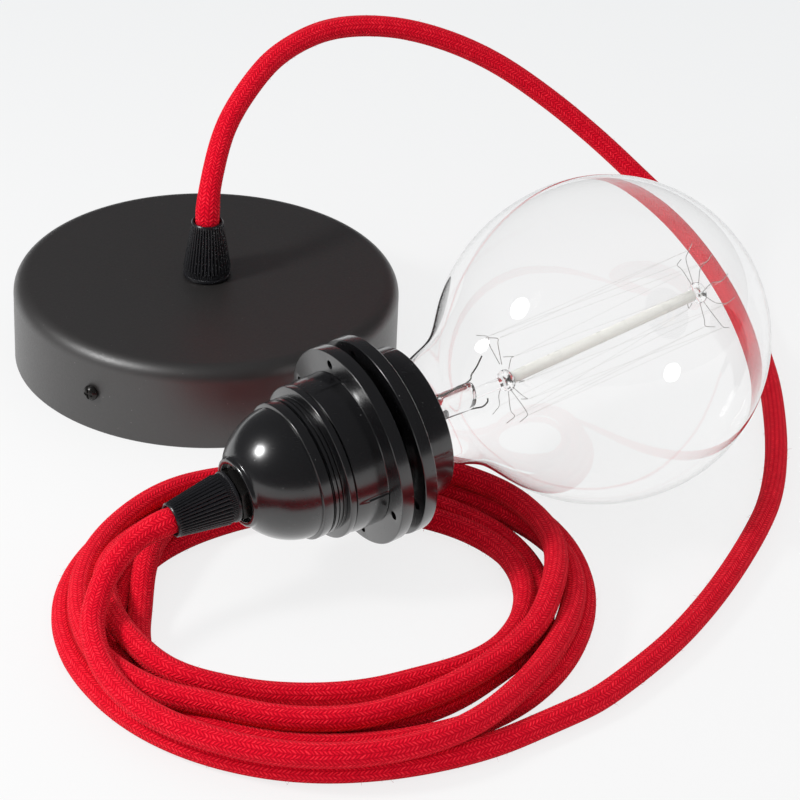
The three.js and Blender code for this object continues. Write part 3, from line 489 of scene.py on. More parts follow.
def shell_points():
    """Lathe surface: the outside carries a thread whose radius falls by its depth times the triangle
    wave of station / pitch - angle / turn; then the shoulder, and a neck with three fine grooves,
    depth max(0, cos(2 pi (station - first) / pitch))^6."""
    mouth = [[17.5, shell_mouth], [19.1, shell_mouth]]
    thread = wall_line(thread_radius, np.arange(shell_mouth + 0.6, shoulder_start - 0.4, 0.2))
    shoulder = rounded([[19.5, shoulder_start], [22.4, shoulder_start], [22.4, 100.9],
                        [neck_radius, 101.1]], 0.35)
    station = np.arange(101.2, 104.7, 0.08)
    groove = np.maximum(np.cos(2 * np.pi * (station - first_groove) / groove_pitch), 0.0) ** 6
    neck = wall_line(neck_radius - groove_depth * groove, station)
    inside = [[18.2, 104.6], [18.2, 109.6], [17.0, 109.6], [16.9, 104.6], [16.9, 93.7], [13.5, 93.7],
              [13.5, 71.2], [17.5, 70.2], [17.5, shell_mouth]]
    profile = np.concatenate([mouth, thread, shoulder, neck, inside])

    def threaded(r, z, a):
        turn = (z / thread_pitch - a / (2 * np.pi)) % 1
        wave = np.abs(2 * turn - 1)
        on = np.abs(r - thread_radius) < 0.02
        return r - np.where(on, thread_depth * wave, 0)

    return turned(profile, 144, threaded)


shell = surface("holder_shell_skin", on_axis(shell_points()), sharp=35)
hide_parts("holder_shell")
dress(shell, gloss)

ring_radius = 29.1
ring_bore = 19.8
ring_flange = 4.0
ring_height = 13.9
collar_radius = 22.1
pad_rise = 0.45
hole_circle = 25.5
hole_radius = 1.3
hole_angles = [101.4, 157.4, -22.6, -78.6]
rear_pads = [(87, 173.5), (267, 353.5)]
front_pads = [(5, 38.5), (69.5, 103), (185, 218.5), (249.5, 283)]


def gathered(name, grids):
    """One mesh from several grids of points, each a closed surface of its own."""
    whole = bmesh.new()
    for grid in grids:
        piece = surface("part", grid)
        whole.from_mesh(piece.data)
        bpy.data.objects.remove(piece)
    mesh = bpy.data.meshes.new(name)
    whole.to_mesh(mesh)
    whole.free()
    return mesh


def shade_ring(name, flange_at, side, pads):
    """A flange and a collar on one bore, from the station flange_at on; the collar points to the cord
    where side is 1 and to the bulb where it is -1. Between a pad's two angles the collar's radius is
    greater by the pad's rise, with smooth flanks: rise times the product of two ramps 1.2 degrees
    wide. Four small holes go through the flange, cut with cylinders that are then removed."""
    profile = rounded([[ring_bore, 6], [ring_bore, 0], [ring_radius, 0], [ring_radius, ring_flange],
                       [collar_radius, ring_flange], [collar_radius, 7], [collar_radius, 10],
                       [collar_radius, ring_height], [ring_bore, ring_height], [ring_bore, 6]], 0.5)

    def padded(r, z, a):
        turn = np.degrees(a) % 360
        rise = np.zeros_like(turn)
        for start, end in pads:
            rise += np.clip((turn - start) / 1.2, 0, 1) * np.clip((end - turn) / 1.2, 0, 1)
        high = np.clip((ring_height - 0.5 - z) / 0.4, 0, 1)
        on = (r > collar_radius - 0.3) & (r < collar_radius + 0.1)
        return r + np.where(on, pad_rise * rise * high, 0)

    def placed(points, aside=0.0):
        points[..., 2] = flange_at * mm + side * points[..., 2]
        return on_axis(points + aside)

    ring = surface(name, placed(turned(profile, 360, padded)))
    hole = [[0, -2], [hole_radius, -2], [hole_radius, 6], [0, 6]]
    drills = [placed(turned(hole, 24), np.array([math.cos(a), math.sin(a), 0]) * hole_circle * mm)
              for a in np.radians(hole_angles)]
    tool = put("holes", gathered("holes", drills))
    cut = ring.modifiers.new("holes", "BOOLEAN")
    cut.object = tool
    cut.solver = "EXACT"
    bpy.context.view_layer.update()
    done = bpy.data.meshes.new_from_object(ring.evaluated_get(bpy.context.evaluated_depsgraph_get()))
    ring.modifiers.clear()
    ring.data = done
    done.shade_smooth()
    done.set_sharp_from_angle(angle=math.radians(30))
    bpy.data.objects.remove(tool)
    return ring


front_ring = shade_ring("front_shade_ring", 81.1, -1, front_pads)
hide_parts("shade_ring_front")
dress(front_ring, gloss)
rear_ring = shade_ring("rear_shade_ring", 84.7, 1, rear_pads)
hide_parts("shade_ring_rear")
dress(rear_ring, gloss)

# Screw cap of the bulb. Thin brass, rolled into a thread, cemented to the neck of the glass, with a
# black glass insulator and a soldered tip contact at its end.

cap_start = 66.5
cap_skirt_end = 70.1
cap_end = 84.3
cap_pitch = 3.5
cap_radius = 12.75
roll_height = 0.45


def cap_points():
    """Lathe surface: the skirt, then a rolled thread, radius + height cos(2 pi (station / pitch -
    angle / turn)), that fades at both ends; the inside is a plain wall further in."""
    outside = rounded([[12.7, cap_start + 0.4], [cap_radius, cap_start], [13.2, cap_start + 0.1],
                       [13.2, cap_skirt_end]], 0.2)[1:]
    thread = wall_line(cap_radius, np.arange(cap_skirt_end + 0.2, cap_end - 0.3, 0.25))
    end = [[12.0, cap_end], [7.2, cap_end + 0.1], [7.2, cap_end - 0.4], [11.8, cap_end - 0.5],
           [11.8, cap_skirt_end], [12.7, cap_skirt_end - 0.4], [12.7, cap_start + 0.4]]
    profile = np.concatenate([outside, thread, end])

    def rolled(r, z, a):
        wave = np.cos(2 * np.pi * (z / cap_pitch - a / (2 * np.pi)))
        fade = np.clip((z - cap_skirt_end) / 1.5, 0, 1) * np.clip((cap_end - z) / 1.5, 0, 1)
        on = (np.abs(r - cap_radius) < 0.02) & (z > cap_skirt_end + 0.1)
        return r + np.where(on, roll_height * wave * fade, 0)

    return turned(profile, 96, rolled)


cap = surface("bulb_screw_cap", on_axis(cap_points()))
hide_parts("bulb_cap_shell")
dress(cap, brass)
insulator = grained("black glass insulator", (0.006, 0.006, 0.006), 300.0, 0.05, (0.1, 0.2))[0]
dress(nodes["bulb_cap_insulator"], insulator)

# Globe of the bulb. Clear soda glass, blown to a sphere that draws in to a neck, with a wall under
# a millimetre; nothing is printed on it.

globe_radius = 47.5
globe_reach = 52.0
globe_wall = 0.5
glass_index = 1.4


def curve(points, count):
    """A smooth line through points: a Catmull-Rom curve, with count points from end to end."""
    p = np.asarray(points, float)
    p = np.concatenate([2 * p[:1] - p[1:2], p, 2 * p[-1:] - p[-2:-1]])
    place = np.linspace(0, len(p) - 3 - 1e-9, count)
    i = place.astype(int)
    t = (place - i)[:, None]
    a, b, c, d = p[i], p[i + 1], p[i + 2], p[i + 3]
    return 0.5 * (2 * b + (c - a) * t + (2 * a - 5 * b + 4 * c - d) * t**2
                  + (3 * b - a - 3 * c + d) * t**3)


def globe_profile():
    """Profile of the outside: a quarter circle, a quarter of an ellipse that reaches further on the
    neck's side, and the neck's curve through measured stations, smoothed where they meet."""
    far = np.radians(np.linspace(-90, 0, 60))
    near = np.linspace(0.0, 41.5, 40)[1:]
    neck = np.array([[25.1, 44.6], [22.8, 46.8], [21.0, 48.9], [19.4, 51.0], [18.2, 53.8],
                     [17.3, 57.0], [16.4, 60.5], [14.6, 63.4], [12.6, 65.8], [12.0, 69.5]])
    sphere = globe_radius * np.stack([np.cos(far), np.sin(far)], axis=-1)
    sphere[0, 0] = 0
    drawn = np.stack([globe_radius * np.sqrt(1 - (near / globe_reach) ** 2), near], axis=-1)
    line = curve(np.concatenate([drawn[24:], neck]), 90)
    for _ in range(30):
        line[1:-1] = (line[:-2] + 2 * line[1:-1] + line[2:]) / 4
    return np.concatenate([sphere, drawn[:24], line])


def inner_side(profile, wall):
    """The same profile moved inwards by the wall, across its own direction (dr, dz): by
    wall (-dz, dr) / |(dr, dz)|."""
    along = np.gradient(profile, axis=0)
    along /= np.linalg.norm(along, axis=1)[:, None]
    inner = profile + wall * np.stack([-along[:, 1], along[:, 0]], axis=-1)
    inner[0, 0] = 0
    inner[-1, 1] = profile[-1, 1]
    return inner


def clear_glass(name):
    """Clear glass: full transmission, no roughness, and an index a little under that of soda glass."""
    made, _, shader = material(name, (1.0, 1.0, 1.0), 0.0)
    shader.inputs["Transmission Weight"].default_value = 1.0
    shader.inputs["IOR"].default_value = glass_index
    return made


glass = clear_glass("clear glass")
outer = globe_profile()
wall = np.concatenate([outer, inner_side(outer, globe_wall)[::-1]])
globe = surface("bulb_globe", on_axis(turned(wall, 160)))
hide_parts("bulb_glass")
dress(globe, glass)

# Stem, beads and arbor inside the bulb. The stem is lead glass, flared where it joins the neck and
# pressed flat round the two lead wires, with a clear rod; a cream glass arbor stands on the rod, and
# at each of its ends a glass bead holds a spray of hooks.

arbor_lean = math.radians(2.2)
lean_station = 35.0


def leaning(points):
    """Turns points of the filament's mount by its lean about the level axis at the near bead."""
    offset = points - np.array([0, 0, lean_station * mm])
    c, s = math.cos(arbor_lean), math.sin(arbor_lean)
    turn = np.array([[1, 0, 0], [0, c, -s], [0, s, c]])
    return offset @ turn.T + np.array([0, 0, lean_station * mm])


def frames(path):
    """Three unit vectors at each point of a path: along it, and two across it. The first of those
    is carried on from point to point, so that a tube round the path doesn't twist."""
    along = np.gradient(path, axis=0)
    along /= np.linalg.norm(along, axis=1)[:, None]
    across = np.empty_like(path)
    start = np.cross(along[0], [0.3, 0.2, 1.0])
    across[0] = start / np.linalg.norm(start)
    for i in range(1, len(path)):
        moved = across[i - 1] - along[i] * (across[i - 1] @ along[i])
        across[i] = moved / np.linalg.norm(moved)
    return along, across, np.cross(along, across)


def tube(path, radius, sides=8):
    """Points of a round tube along a path, ring by ring: p + r (cos a across + sin a other); the
    radius is one number or one for each point, and each end closes in a point."""
    path = np.asarray(path, float)
    _, across, other = frames(path)
    angle = 2 * np.pi * np.arange(sides) / sides
    ring = across[:, None] * np.cos(angle)[:, None] + other[:, None] * np.sin(angle)[:, None]
    points = path[:, None] + np.broadcast_to(radius, len(path))[:, None, None] * ring
    caps = [np.repeat(path[end][None, None], sides, axis=1) for end in (0, -1)]
    return np.concatenate([caps[0], points, caps[1]])


def joined(name, parts):
    """One piece from several grids of points."""
    return finished(name, gathered(name, parts))


def stem_points():
    """The flare and the tube of the stem, and the press: a lathe surface whose radius across is drawn
    in towards the press by an ellipse, thin in x and wide in y."""
    profile = rounded([[0, 46.2], [3.6, 46.2], [4.3, 48], [4.4, 57], [4.3, 60], [6.0, 63], [9.0, 67.5],
                       [11.3, 70.2], [10.6, 70.9], [8.2, 67.8], [5.2, 63.5], [3.2, 60.5],
                       [0, 59.6]], 1.2)
    points = turned(profile, 48)
    station = points[..., 2] / mm
    pressed = np.clip((60.5 - station) / 4.0, 0, 1)
    points[..., 0] *= 1 - 0.52 * pressed
    points[..., 1] *= 1 + 0.08 * pressed
    return points


rod_path = np.array([[0, 0, 46.6], [0, 0, 42.0], [0, 0, 37.0]]) * mm
rod_radius = 1.6
stem_glass = clear_glass("stem glass")
rod = tube(curve(rod_path, 12), rod_radius * mm, 16)
stem = joined("bulb_stem", [on_axis(stem_points()), on_axis(rod)])
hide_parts("bulb_stem_glass")
dress(stem, stem_glass)

cream = grained("cream arbor glass", (0.93, 0.925, 0.87), 200.0, 0.1, (0.25, 0.4))[0]
arbor_profile = rounded([[0, -31.2], [1.75, -31.2], [1.75, 33.2], [0, 33.2]], 0.4)
arbor = surface("arbor", on_axis(leaning(turned(arbor_profile, 24))))
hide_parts("bulb_arbor")
dress(arbor, cream)

hook_wire = grained("support wire", (0.42, 0.415, 0.4), 900.0, 0.1, (0.35, 0.5), 0.4)[0]
hook_wire_radius = 0.11
near_hooks = [[(-2.7, 4.2), (-7.0, 9.3), (-4.9, 13.4), (-7.3, 13.6)],
              [(-1.6, 4.7), (-1.9, 12.2), (0.6, 15.6), (-2.1, 15.5)],
              [(2.0, 5.0), (4.6, 10.5), (8.2, 13.4), (6.4, 13.4)],
              [(3.4, 2.0), (7.9, 4.3), (12.9, 7.6), (13.6, 8.6)],
              [(3.2, -0.6), (9.6, -0.2), (13.6, 1.6), (13.9, 3.0)],
              [(2.0, -2.2), (9.4, -4.3), (12.6, -4.6), (11.9, -6.2)],
              [(0.6, -3.1), (1.4, -9.9), (5.6, -8.9), (4.5, -10.8)],
              [(-2.6, -2.6), (-4.4, -7.6), (-2.6, -9.7), (-2.9, -11.8)]]
far_hooks = [[(-2.7, 1.2), (-8.3, 4.1), (-12.2, 3.0), (-13.2, 3.6)],
             [(-2.2, 2.3), (-6.2, 8.8), (-5.2, 11.9), (-7.2, 12.1)],
             [(0.6, 3.0), (0.9, 9.0), (3.8, 12.4), (2.3, 12.9)],
             [(2.6, 1.7), (6.4, 6.6), (10.5, 8.8), (10.0, 10.0)],
             [(3.0, 0.6), (7.9, 0.1), (12.4, 1.9), (12.9, 3.3)],
             [(2.7, -1.8), (6.8, -4.8), (9.9, -7.9), (9.2, -9.4)],
             [(0.7, -3.0), (2.0, -9.0), (0.6, -12.4), (2.3, -12.8)],
             [(-2.2, -2.3), (-6.4, -6.6), (-7.2, -10.2), (-8.9, -10.0)]]
hook_rise = [0.0, 0.5, 1.4, 4.0]


def bead_and_hooks(name, station, away, hooks, replaced):
    """A glass bead with its spray of hooks. A hook leaves the bead's side, runs out with a kink to
    its corner, and bends back along the axis for its tip; each place across the axis is as
    measured, and rises by hook_rise. Returns the corners, where the filament hangs."""
    profile = rounded([[0, station - 1.5], [2.9, station - 1.5], [3.3, station], [2.9, station + 1.5],
                       [0, station + 1.5]], 0.9, 6)
    bead = surface(name + "_bead", on_axis(leaning(turned(profile, 32))))
    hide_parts(replaced)
    dress(bead, stem_glass)
    wires, corners = [], []
    for hook in hooks:
        line = np.array([[x, y, station + away * rise] for (x, y), rise in zip(hook, hook_rise)])
        corners.append(line[2])
        bends = np.concatenate([np.linspace(line[i], line[i + 1], 6)[:-1] for i in range(3)]
                               + [line[3:]])
        for _ in range(2):
            bends[1:-1] = (bends[:-2] + 2 * bends[1:-1] + bends[2:]) / 4
        wires.append(on_axis(leaning(tube(bends * mm, hook_wire_radius * mm, 6))))
    spray = joined(name + "_hooks", wires)
    dress(spray, hook_wire)
    return np.array(corners)


near_corners = bead_and_hooks("near_support", 35.0, 1.0, near_hooks, "support_bead_near")
far_corners = bead_and_hooks("far_support", -33.0, -1.0, far_hooks, "support_bead_far")

# Filament and lead wires. A hair-thin tungsten wire runs to and fro between the hooks of both beads,
# like a squirrel's cage; two nickel leads bring the current from the press to its ends.


filament_radius = 0.035
lead_radius = 0.23


def filament_points():
    """Straight lines from far corner to near corner in turn, through the place halfway."""
    order = [corners[i] for i in range(8) for corners in (far_corners, near_corners)]
    lines = []
    for start, end in zip(order[:-1], order[1:]):
        path = curve(np.array([start, (start + end) / 2, end]) * mm, 7)
        lines.append(on_axis(leaning(tube(path, filament_radius * mm, 5))))
    return lines


tungsten = grained("tungsten wire", (0.7, 0.69, 0.67), 900.0, 0.1, (0.35, 0.5), 0.3)[0]
filament = joined("filament", filament_points())
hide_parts("bulb_filament")
dress(filament, tungsten)
nickel = grained("nickel lead", (0.1, 0.1, 0.09), 900.0, 0.1, (0.25, 0.4), 0.5)[0]
lead_routes = {"left": [[-0.3, 3.2, 60.0], [-0.4, 3.8, 51.0], [-1.2, 4.2, 46.5], [-4.2, 3.4, 44.0],
                        [-3.4, 6.2, 42.4], [-2.7, 9.4, 41.0]],
               "right": [[0.3, -3.2, 60.0], [0.4, -3.8, 51.0], [0.9, -4.3, 46.5], [1.6, -4.2, 44.5],
                         [2.2, -2.9, 43.2], [1.9, -1.9, 42.8]]}
for side, route in lead_routes.items():
    lead_path = curve(np.array(route) * mm, 40)
    lead = surface("lead_" + side, on_axis(tube(lead_path, lead_radius * mm, 10)))
    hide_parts("lead_wire_" + side)
    dress(lead, nickel)

# Cord. Three cores under a braid of bright red cotton: one length from the canopy's grip over an arch
# and along the table to a loose coil of five turns, whose last turn rises to the holder's grip.
# The route's free ends are lists of points; the coil is worked out from radii by azimuth.

cord_end_low = 17.8
grip_top = cup_height + seat_gap + grip_length
holder_grip_end = holder_grip_start + grip_length
cord_end_station = 123.9

run_route = [
    [0, 0, cord_end_low], [0, 0, grip_top - 9], [0, 0, grip_top], [0, 0.6, grip_top + 4],
    [0.6, 5, 56.5], [4, 18, 69], [11.5, 32, 78.5], [20, 44, 84], [34, 56, 87], [52, 65, 85],
    [70, 71, 79], [88, 76.5, 69], [106, 79, 56], [123, 78.5, 42.5], [138, 75.5, 30],
    [150, 70.5, 20.5], [160, 62, 12], [167.5, 49, 6], [172, 33, 3.6], [175, 12, cord_radius],
    [176.8, -10, cord_radius], [176.8, -32, cord_radius], [175.5, -54, cord_radius],
    [172.5, -75, cord_radius], [167.7, -92.7, cord_radius], [158, -117.8, cord_radius],
    [147.5, -140, cord_radius], [136, -159.5, cord_radius], [119.4, -181.4, cord_radius],
    [110, -190, cord_radius],
]
tail_route = [[-15.7, -165.8, 20], [-13.2, -159.6, 23.3], [-9.2, -153.4, 25.8]]
tail_stations = [holder_grip_end + 7, holder_grip_end + 2, holder_grip_end - 5, cord_end_station]

# Each turn of the coil: azimuth in degrees, radius and height of the cord's middle in millimetres;
# where no height is given, the cord lies on the table
coil_centre = np.array([43.0, -148.0])
coil_turns = [
    # outermost at the front, the left and the back
    [(315, 75), (300, 72.6), (285, 71.6), (265, 71.5), (240, 71), (215, 70.3), (198, 70.4),
     (182, 70.4), (165, 69.8), (150, 69.6), (135, 70.4), (120, 72.6), (105, 75.6), (90, 78.4),
     (60, 80), (38, 79), (24, 76.5), (12, 74)],
    # beneath the others to the inner side at the left, up a little at the right
    [(355, 70.4), (340, 68), (325, 66.2), (310, 64.3), (297, 62.6), (280, 61.5), (265, 61.5),
     (240, 61.5), (215, 60.8), (200, 58.8), (188, 57), (172, 55.2), (156, 54.3), (140, 52.9),
     (124, 52), (98, 52.8), (75, 55.6), (60, 57.6), (49, 58.8, 3.8), (35, 59.3, 4.6),
     (27, 58.9, 5.2), (12, 57.2, 5.2)],
    # innermost at the front, over the others at the left, on the table at the back and the right
    [(0, 55.2, 4.8), (354, 53.7, 4.4), (341, 49.8, 3.6), (326, 44.2), (309, 39.8), (283, 38.7),
     (264, 40, 3.6), (250, 44, 5), (240, 49, 7.3), (230, 54.3, 9.5), (220, 56, 10.2),
     (212, 56.3, 10.3), (200, 57.5, 10.4), (184, 59.3, 10.3), (175, 60.2, 9.8), (160, 60.4, 8),
     (150, 60.5, 6.4), (132, 61.8, 4.4), (115, 63.8), (80, 64.3), (55, 64.5), (40, 64.8),
     (26, 63.8), (14, 62.2)],
    # beneath at the front, over the others to the outer side at the back, on top at the right
    [(0, 60.6), (352, 59), (345, 57), (335, 54.6), (325, 53.2), (300, 52.8), (270, 53.5),
     (250, 54.2), (235, 54.8), (222, 54.6), (210, 53.6), (196, 51), (183, 49.5, 4.6),
     (168, 50.6, 8.6), (150, 53.5, 9.9), (125, 58, 9.9), (95, 67, 9.9), (70, 72.6, 9.9),
     (50, 74.6, 9.9), (37, 72.6, 10.8), (24, 69.2, 12.6), (12, 65.6, 13.6), (0, 62.3, 13.2),
     (348, 60, 11.8)],
    # on top at the front and the left, down to the table at the back, up again at the right
    [(336, 57, 10.6), (320, 54.6, 9.9), (301, 54.6, 9.3), (282, 56.8, 9), (260, 58, 9),
     (245, 59, 9.3), (232, 63.3, 9.6), (221, 65, 9.2), (210, 66.3, 8.8), (198, 66.2, 8.7),
     (184, 66, 8.6), (168, 66.2, 8.6), (150, 66.8, 8.8), (132, 67.8, 8.8), (115, 68.8, 6.6),
     (100, 70.4, 4.2), (80, 71.8), (55, 73, 3.6), (35, 73, 5.5), (20, 71.5, 8), (8, 70, 8.6),
     (354, 67.4, 8.6)],
    # the last, over the first at the front, rising to the holder
    [(338, 66, 8.8), (322, 67, 9.3), (308, 70, 9.7), (295, 72.4, 9.9), (280, 73.7, 9.9),
     (265, 73.9, 9.9), (248, 73.3, 10), (232, 72.6, 10.4), (219, 70.4, 12), (209, 67.6, 14.6),
     (202, 65.1, 16.6)],
]


def coil_points():
    """The coil's middle line: azimuths fall steadily from turn to turn, radius and height run
    smoothly through the values given, and a point lies at the coil's centre plus
    (radius cos azimuth, radius sin azimuth), every three degrees."""
    rows = []
    for values in coil_turns:
        for azimuth, radius, *height in values:
            fallen = rows[-1][0] if rows else azimuth
            while azimuth > fallen + 1e-9:
                azimuth -= 360
            rows.append([azimuth, radius, *(height or [cord_radius])])
    rows = np.array(rows, float)
    line = curve(rows, 40 * len(rows))
    azimuth = np.arange(rows[0, 0], rows[-1, 0], -3.0)
    radius = np.interp(-azimuth, -line[:, 0], line[:, 1])
    height = np.interp(-azimuth, -line[:, 0], line[:, 2])
    angle = np.radians(azimuth)
    across = coil_centre + radius[:, None] * np.stack([np.cos(angle), np.sin(angle)], axis=-1)
    return np.concatenate([across, np.maximum(height, cord_radius)[:, None]], axis=-1)


def evenly(path, step):
    """The same line with points every step along it, and then rounded off a little: each point
    becomes the mean of itself and its neighbours, but the ends stay."""
    length = np.concatenate([[0], np.cumsum(np.linalg.norm(np.diff(path, axis=0), axis=1))])
    at = np.linspace(0, length[-1], int(length[-1] / step) + 1)
    even = np.stack([np.interp(at, length, path[:, i]) for i in range(3)], axis=-1)
    for _ in range(12):
        even[2:-2] = (even[1:-3] + 2 * even[2:-2] + even[3:-1]) / 4
    return even, length[-1]


tail_on_axis = on_axis(np.array([[0, 0, s] for s in tail_stations]) * mm) / mm
route = np.concatenate([curve(run_route, 400)[:-1], coil_points(),
                        curve(np.concatenate([tail_route, tail_on_axis]), 80)])
cord_step = 1.3
cord_path, cord_length = evenly(route, cord_step)
cord_sides = 20
along_cord = np.arange(len(cord_path)) * cord_step
first_free = grip_top - cord_end_low
last_free = cord_length - (holder_grip_end - cord_end_station)
# Just outside each grip the clamped cord bulges a little
swell_share = 0.12
swell_reach = 5.0
swell_places = np.array([first_free + 2.5, last_free - 2.5])
swell = np.exp(-(((along_cord[:, None] - swell_places) / swell_reach) ** 2)).sum(axis=1)
outside_grips = (along_cord > first_free - 1.0) & (along_cord < last_free + 1.0)
swollen_radius = cord_radius * (1 + swell_share * swell * outside_grips)
cord_points = tube(cord_path * mm, swollen_radius * mm, cord_sides)
steps = np.concatenate([[0], along_cord, along_cord[-1:]])
cord_uv = np.zeros((*cord_points.shape[:2], 2))
cord_uv[..., 1] = steps[:, None] / (2 * math.pi * cord_radius)
cord = surface("red_cord", cord_points, uv=cord_uv)


shortest_fibre = 0.35
longest_fibre = 2.6
fibre_radius = 0.035
fibre_taper = 0.85
lowest_fibre = 0.03


def add_fibres(count, seed):
    """Adds the cotton's loose fibres to the cord. Each is a thin bent spike: three points round its
    root, just under the braid, three round its middle, and its tip. Its direction is a mix of
    outwards and random, its length the shortest plus an exponential share. One that would go into
    the table is turned up again, mirrored in a plane just above it."""
    chance = np.random.default_rng(seed)
    free = np.flatnonzero((along_cord > first_free + 1.5) & (along_cord < last_free - 1.5))
    at = chance.choice(free, count)
    along, across, other = (vectors[at] for vectors in frames(cord_path))
    angle = chance.uniform(0, 2 * np.pi, count)[:, None]
    outwards = across * np.cos(angle) + other * np.sin(angle)
    sideways = np.cross(along, outwards)
    heading = (outwards * chance.uniform(0.25, 0.9, count)[:, None]
               + along * chance.normal(0, 1, count)[:, None]
               + sideways * chance.normal(0, 0.7, count)[:, None])
    heading /= np.linalg.norm(heading, axis=1)[:, None]
    bent = heading + chance.normal(0, 0.45, (count, 3))
    bent /= np.linalg.norm(bent, axis=1)[:, None]
    length = shortest_fibre + chance.exponential(0.35, count)
    length = np.minimum(length, longest_fibre)[:, None]
    root = cord_path[at] + along * chance.uniform(-0.6, 0.6, count)[:, None]
    root = root + outwards * (cord_radius - 0.1)
    middle = root + heading * length / 2
    tip = middle + bent * length / 2
    first = np.cross(heading, sideways + 0.3 * along)
    first /= np.linalg.norm(first, axis=1)[:, None]
    second = np.cross(heading, first)
    turn = 2 * np.pi * np.arange(3) / 3
    ring = first[:, None] * np.cos(turn)[:, None] + second[:, None] * np.sin(turn)[:, None]
    ring = ring * fibre_radius
    points = np.concatenate([root[:, None] + ring, middle[:, None] + ring * fibre_taper,
                             tip[:, None]], axis=1)
    points[..., 2] = np.abs(points[..., 2] - lowest_fibre) + lowest_fibre
    start = (np.arange(count) * 7)[:, None]
    sides = np.concatenate([start + corner for corner in ([0, 1, 4, 3], [1, 2, 5, 4], [2, 0, 3, 5])])
    ends = np.concatenate([start + corner for corner in ([2, 1, 0], [3, 4, 6], [4, 5, 6], [5, 3, 6])])
    mesh = bpy.data.meshes.new("fibres")
    mesh.from_pydata(points.reshape(-1, 3) * mm, [], sides.tolist() + ends.tolist())
    mesh.polygons.foreach_set("material_index", np.ones(len(mesh.polygons), np.int32))
    both = bmesh.new()
    both.from_mesh(cord.data)
    both.from_mesh(mesh)
    both.to_mesh(cord.data)
    both.free()
    bpy.data.meshes.remove(mesh)


add_fibres(8000, 11)
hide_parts("cord_run", "cord_coil", "cord_tail")

braid, tree, shader = material("red cotton braid", (0.72, 0.006, 0.025), 0.9)
shader.inputs["Sheen Weight"].default_value = 0.12
shader.inputs["Sheen Roughness"].default_value = 0.4
shader.inputs["Sheen Tint"].default_value = (1.0, 0.3, 0.3, 1)
shader.inputs["Specular IOR Level"].default_value = 0.08
braid_columns = 16.0
braid_repeats = 19.0
place = node(tree, "ShaderNodeUVMap", uv_map="around and along").outputs["UV"]
split = node(tree, "ShaderNodeSeparateXYZ", {0: place})
body_place = node(tree, "ShaderNodeTexCoord").outputs["Object"]


def noise_node(scale, detail):
    """One Noise node of the braid's tree; returns its value."""
    return node(tree, "ShaderNodeTexNoise",
                {"Vector": body_place, "Scale": scale, "Detail": detail}).outputs["Fac"]


wander = maths(tree, "MULTIPLY_ADD", noise_node(700.0, 2.0), 0.9, -0.45)
columns = maths(tree, "MULTIPLY", split.outputs["X"], braid_columns)
mirrored = maths(tree, "PINGPONG", columns, 1.0)
slanted = maths(tree, "ADD", maths(tree, "MULTIPLY", split.outputs["Y"], braid_repeats),
                maths(tree, "MULTIPLY_ADD", mirrored, 1.1, wander))
yarn = maths(tree, "PINGPONG", slanted, 0.5)
yarn_height = maths(tree, "POWER", maths(tree, "MULTIPLY", yarn, 2.0), 0.8)
within = maths(tree, "MULTIPLY", maths(tree, "FRACT", columns), math.pi)
column_edge = maths(tree, "POWER", maths(tree, "SINE", within), 0.4)
cell = node(tree, "ShaderNodeCombineXYZ", {0: maths(tree, "FLOOR", columns),
                                           1: maths(tree, "FLOOR", slanted)})
lot = node(tree, "ShaderNodeTexWhiteNoise", {"Vector": cell.outputs[0]}).outputs["Value"]
weave = maths(tree, "MULTIPLY", yarn_height, column_edge)
height = maths(tree, "MULTIPLY_ADD", noise_node(2600.0, 3.0), 0.5, weave)
relief = node(tree, "ShaderNodeBump", {"Strength": 0.8, "Distance": 0.0003, "Height": height})
tree.links.new(relief.outputs["Normal"], shader.inputs["Normal"])
# Each yarn is painted lighter along its crest and darker at its edges and ends, where the weave sinks:
# painted highlight and painted shade on top of the bump's real relief. The random tone of each yarn
# (lot) and the cloudy noise are the cotton's own.
crest_highlight = maths(tree, "MULTIPLY", weave, maths(tree, "MULTIPLY_ADD", lot, 0.35, 0.7))
cloudy = maths(tree, "MULTIPLY_ADD", noise_node(1500.0, 4.0), 0.45, -0.19)
highlight_shade_and_tone = maths(tree, "ADD", crest_highlight, cloudy)
# The ramp turns that into the base colour. Its dark end is the painted shade in the braid's valleys,
# its pale pinkish end is the painted highlight on the yarn crests, and the middle stop is the cotton's
# own red.
shade = node(tree, "ShaderNodeValToRGB", {"Fac": highlight_shade_and_tone})
ramp = shade.color_ramp.elements
ramp[0].position = 0.05
ramp[0].color = (0.44, 0.0005, 0.01, 1)
ramp[1].position = 1.0
ramp[1].color = (1.0, 0.035, 0.055, 1)
middle_tone = ramp.new(0.6)
middle_tone.color = (0.75, 0.003, 0.02, 1)
tree.links.new(shade.outputs["Color"], shader.inputs["Base Color"])
dress(cord, braid)
fluff = grained("loose cotton fibres", (0.9, 0.05, 0.06), 300.0, 0.05, (0.75, 0.85))[0]
cord.data.materials.append(fluff)

# Studio. A pale table that runs out of sight, one soft lamp at the upper left, and the camera where
# the photographer's stood, looking down at about thirty degrees with a long lens.

floor_mesh = bpy.data.meshes.new("table")
floor_mesh.from_pydata([(-6, -6, 0), (6, -6, 0), (6, 6, 0), (-6, 6, 0)], [], [(0, 1, 2, 3)])
table = put("table", floor_mesh)
table_white, tree, shader = material("white table", (0.86, 0.86, 0.86), 0.6)
shader.inputs["Specular IOR Level"].default_value = 0.0
path_kind = node(tree, "ShaderNodeLightPath")
seen = maths(tree, "MAXIMUM", path_kind.outputs["Is Camera Ray"], path_kind.outputs["Is Glossy Ray"])
seen = maths(tree, "MAXIMUM", seen, path_kind.outputs["Is Transmission Ray"])
glow_share = 0.86
share = maths(tree, "MULTIPLY", seen, glow_share)
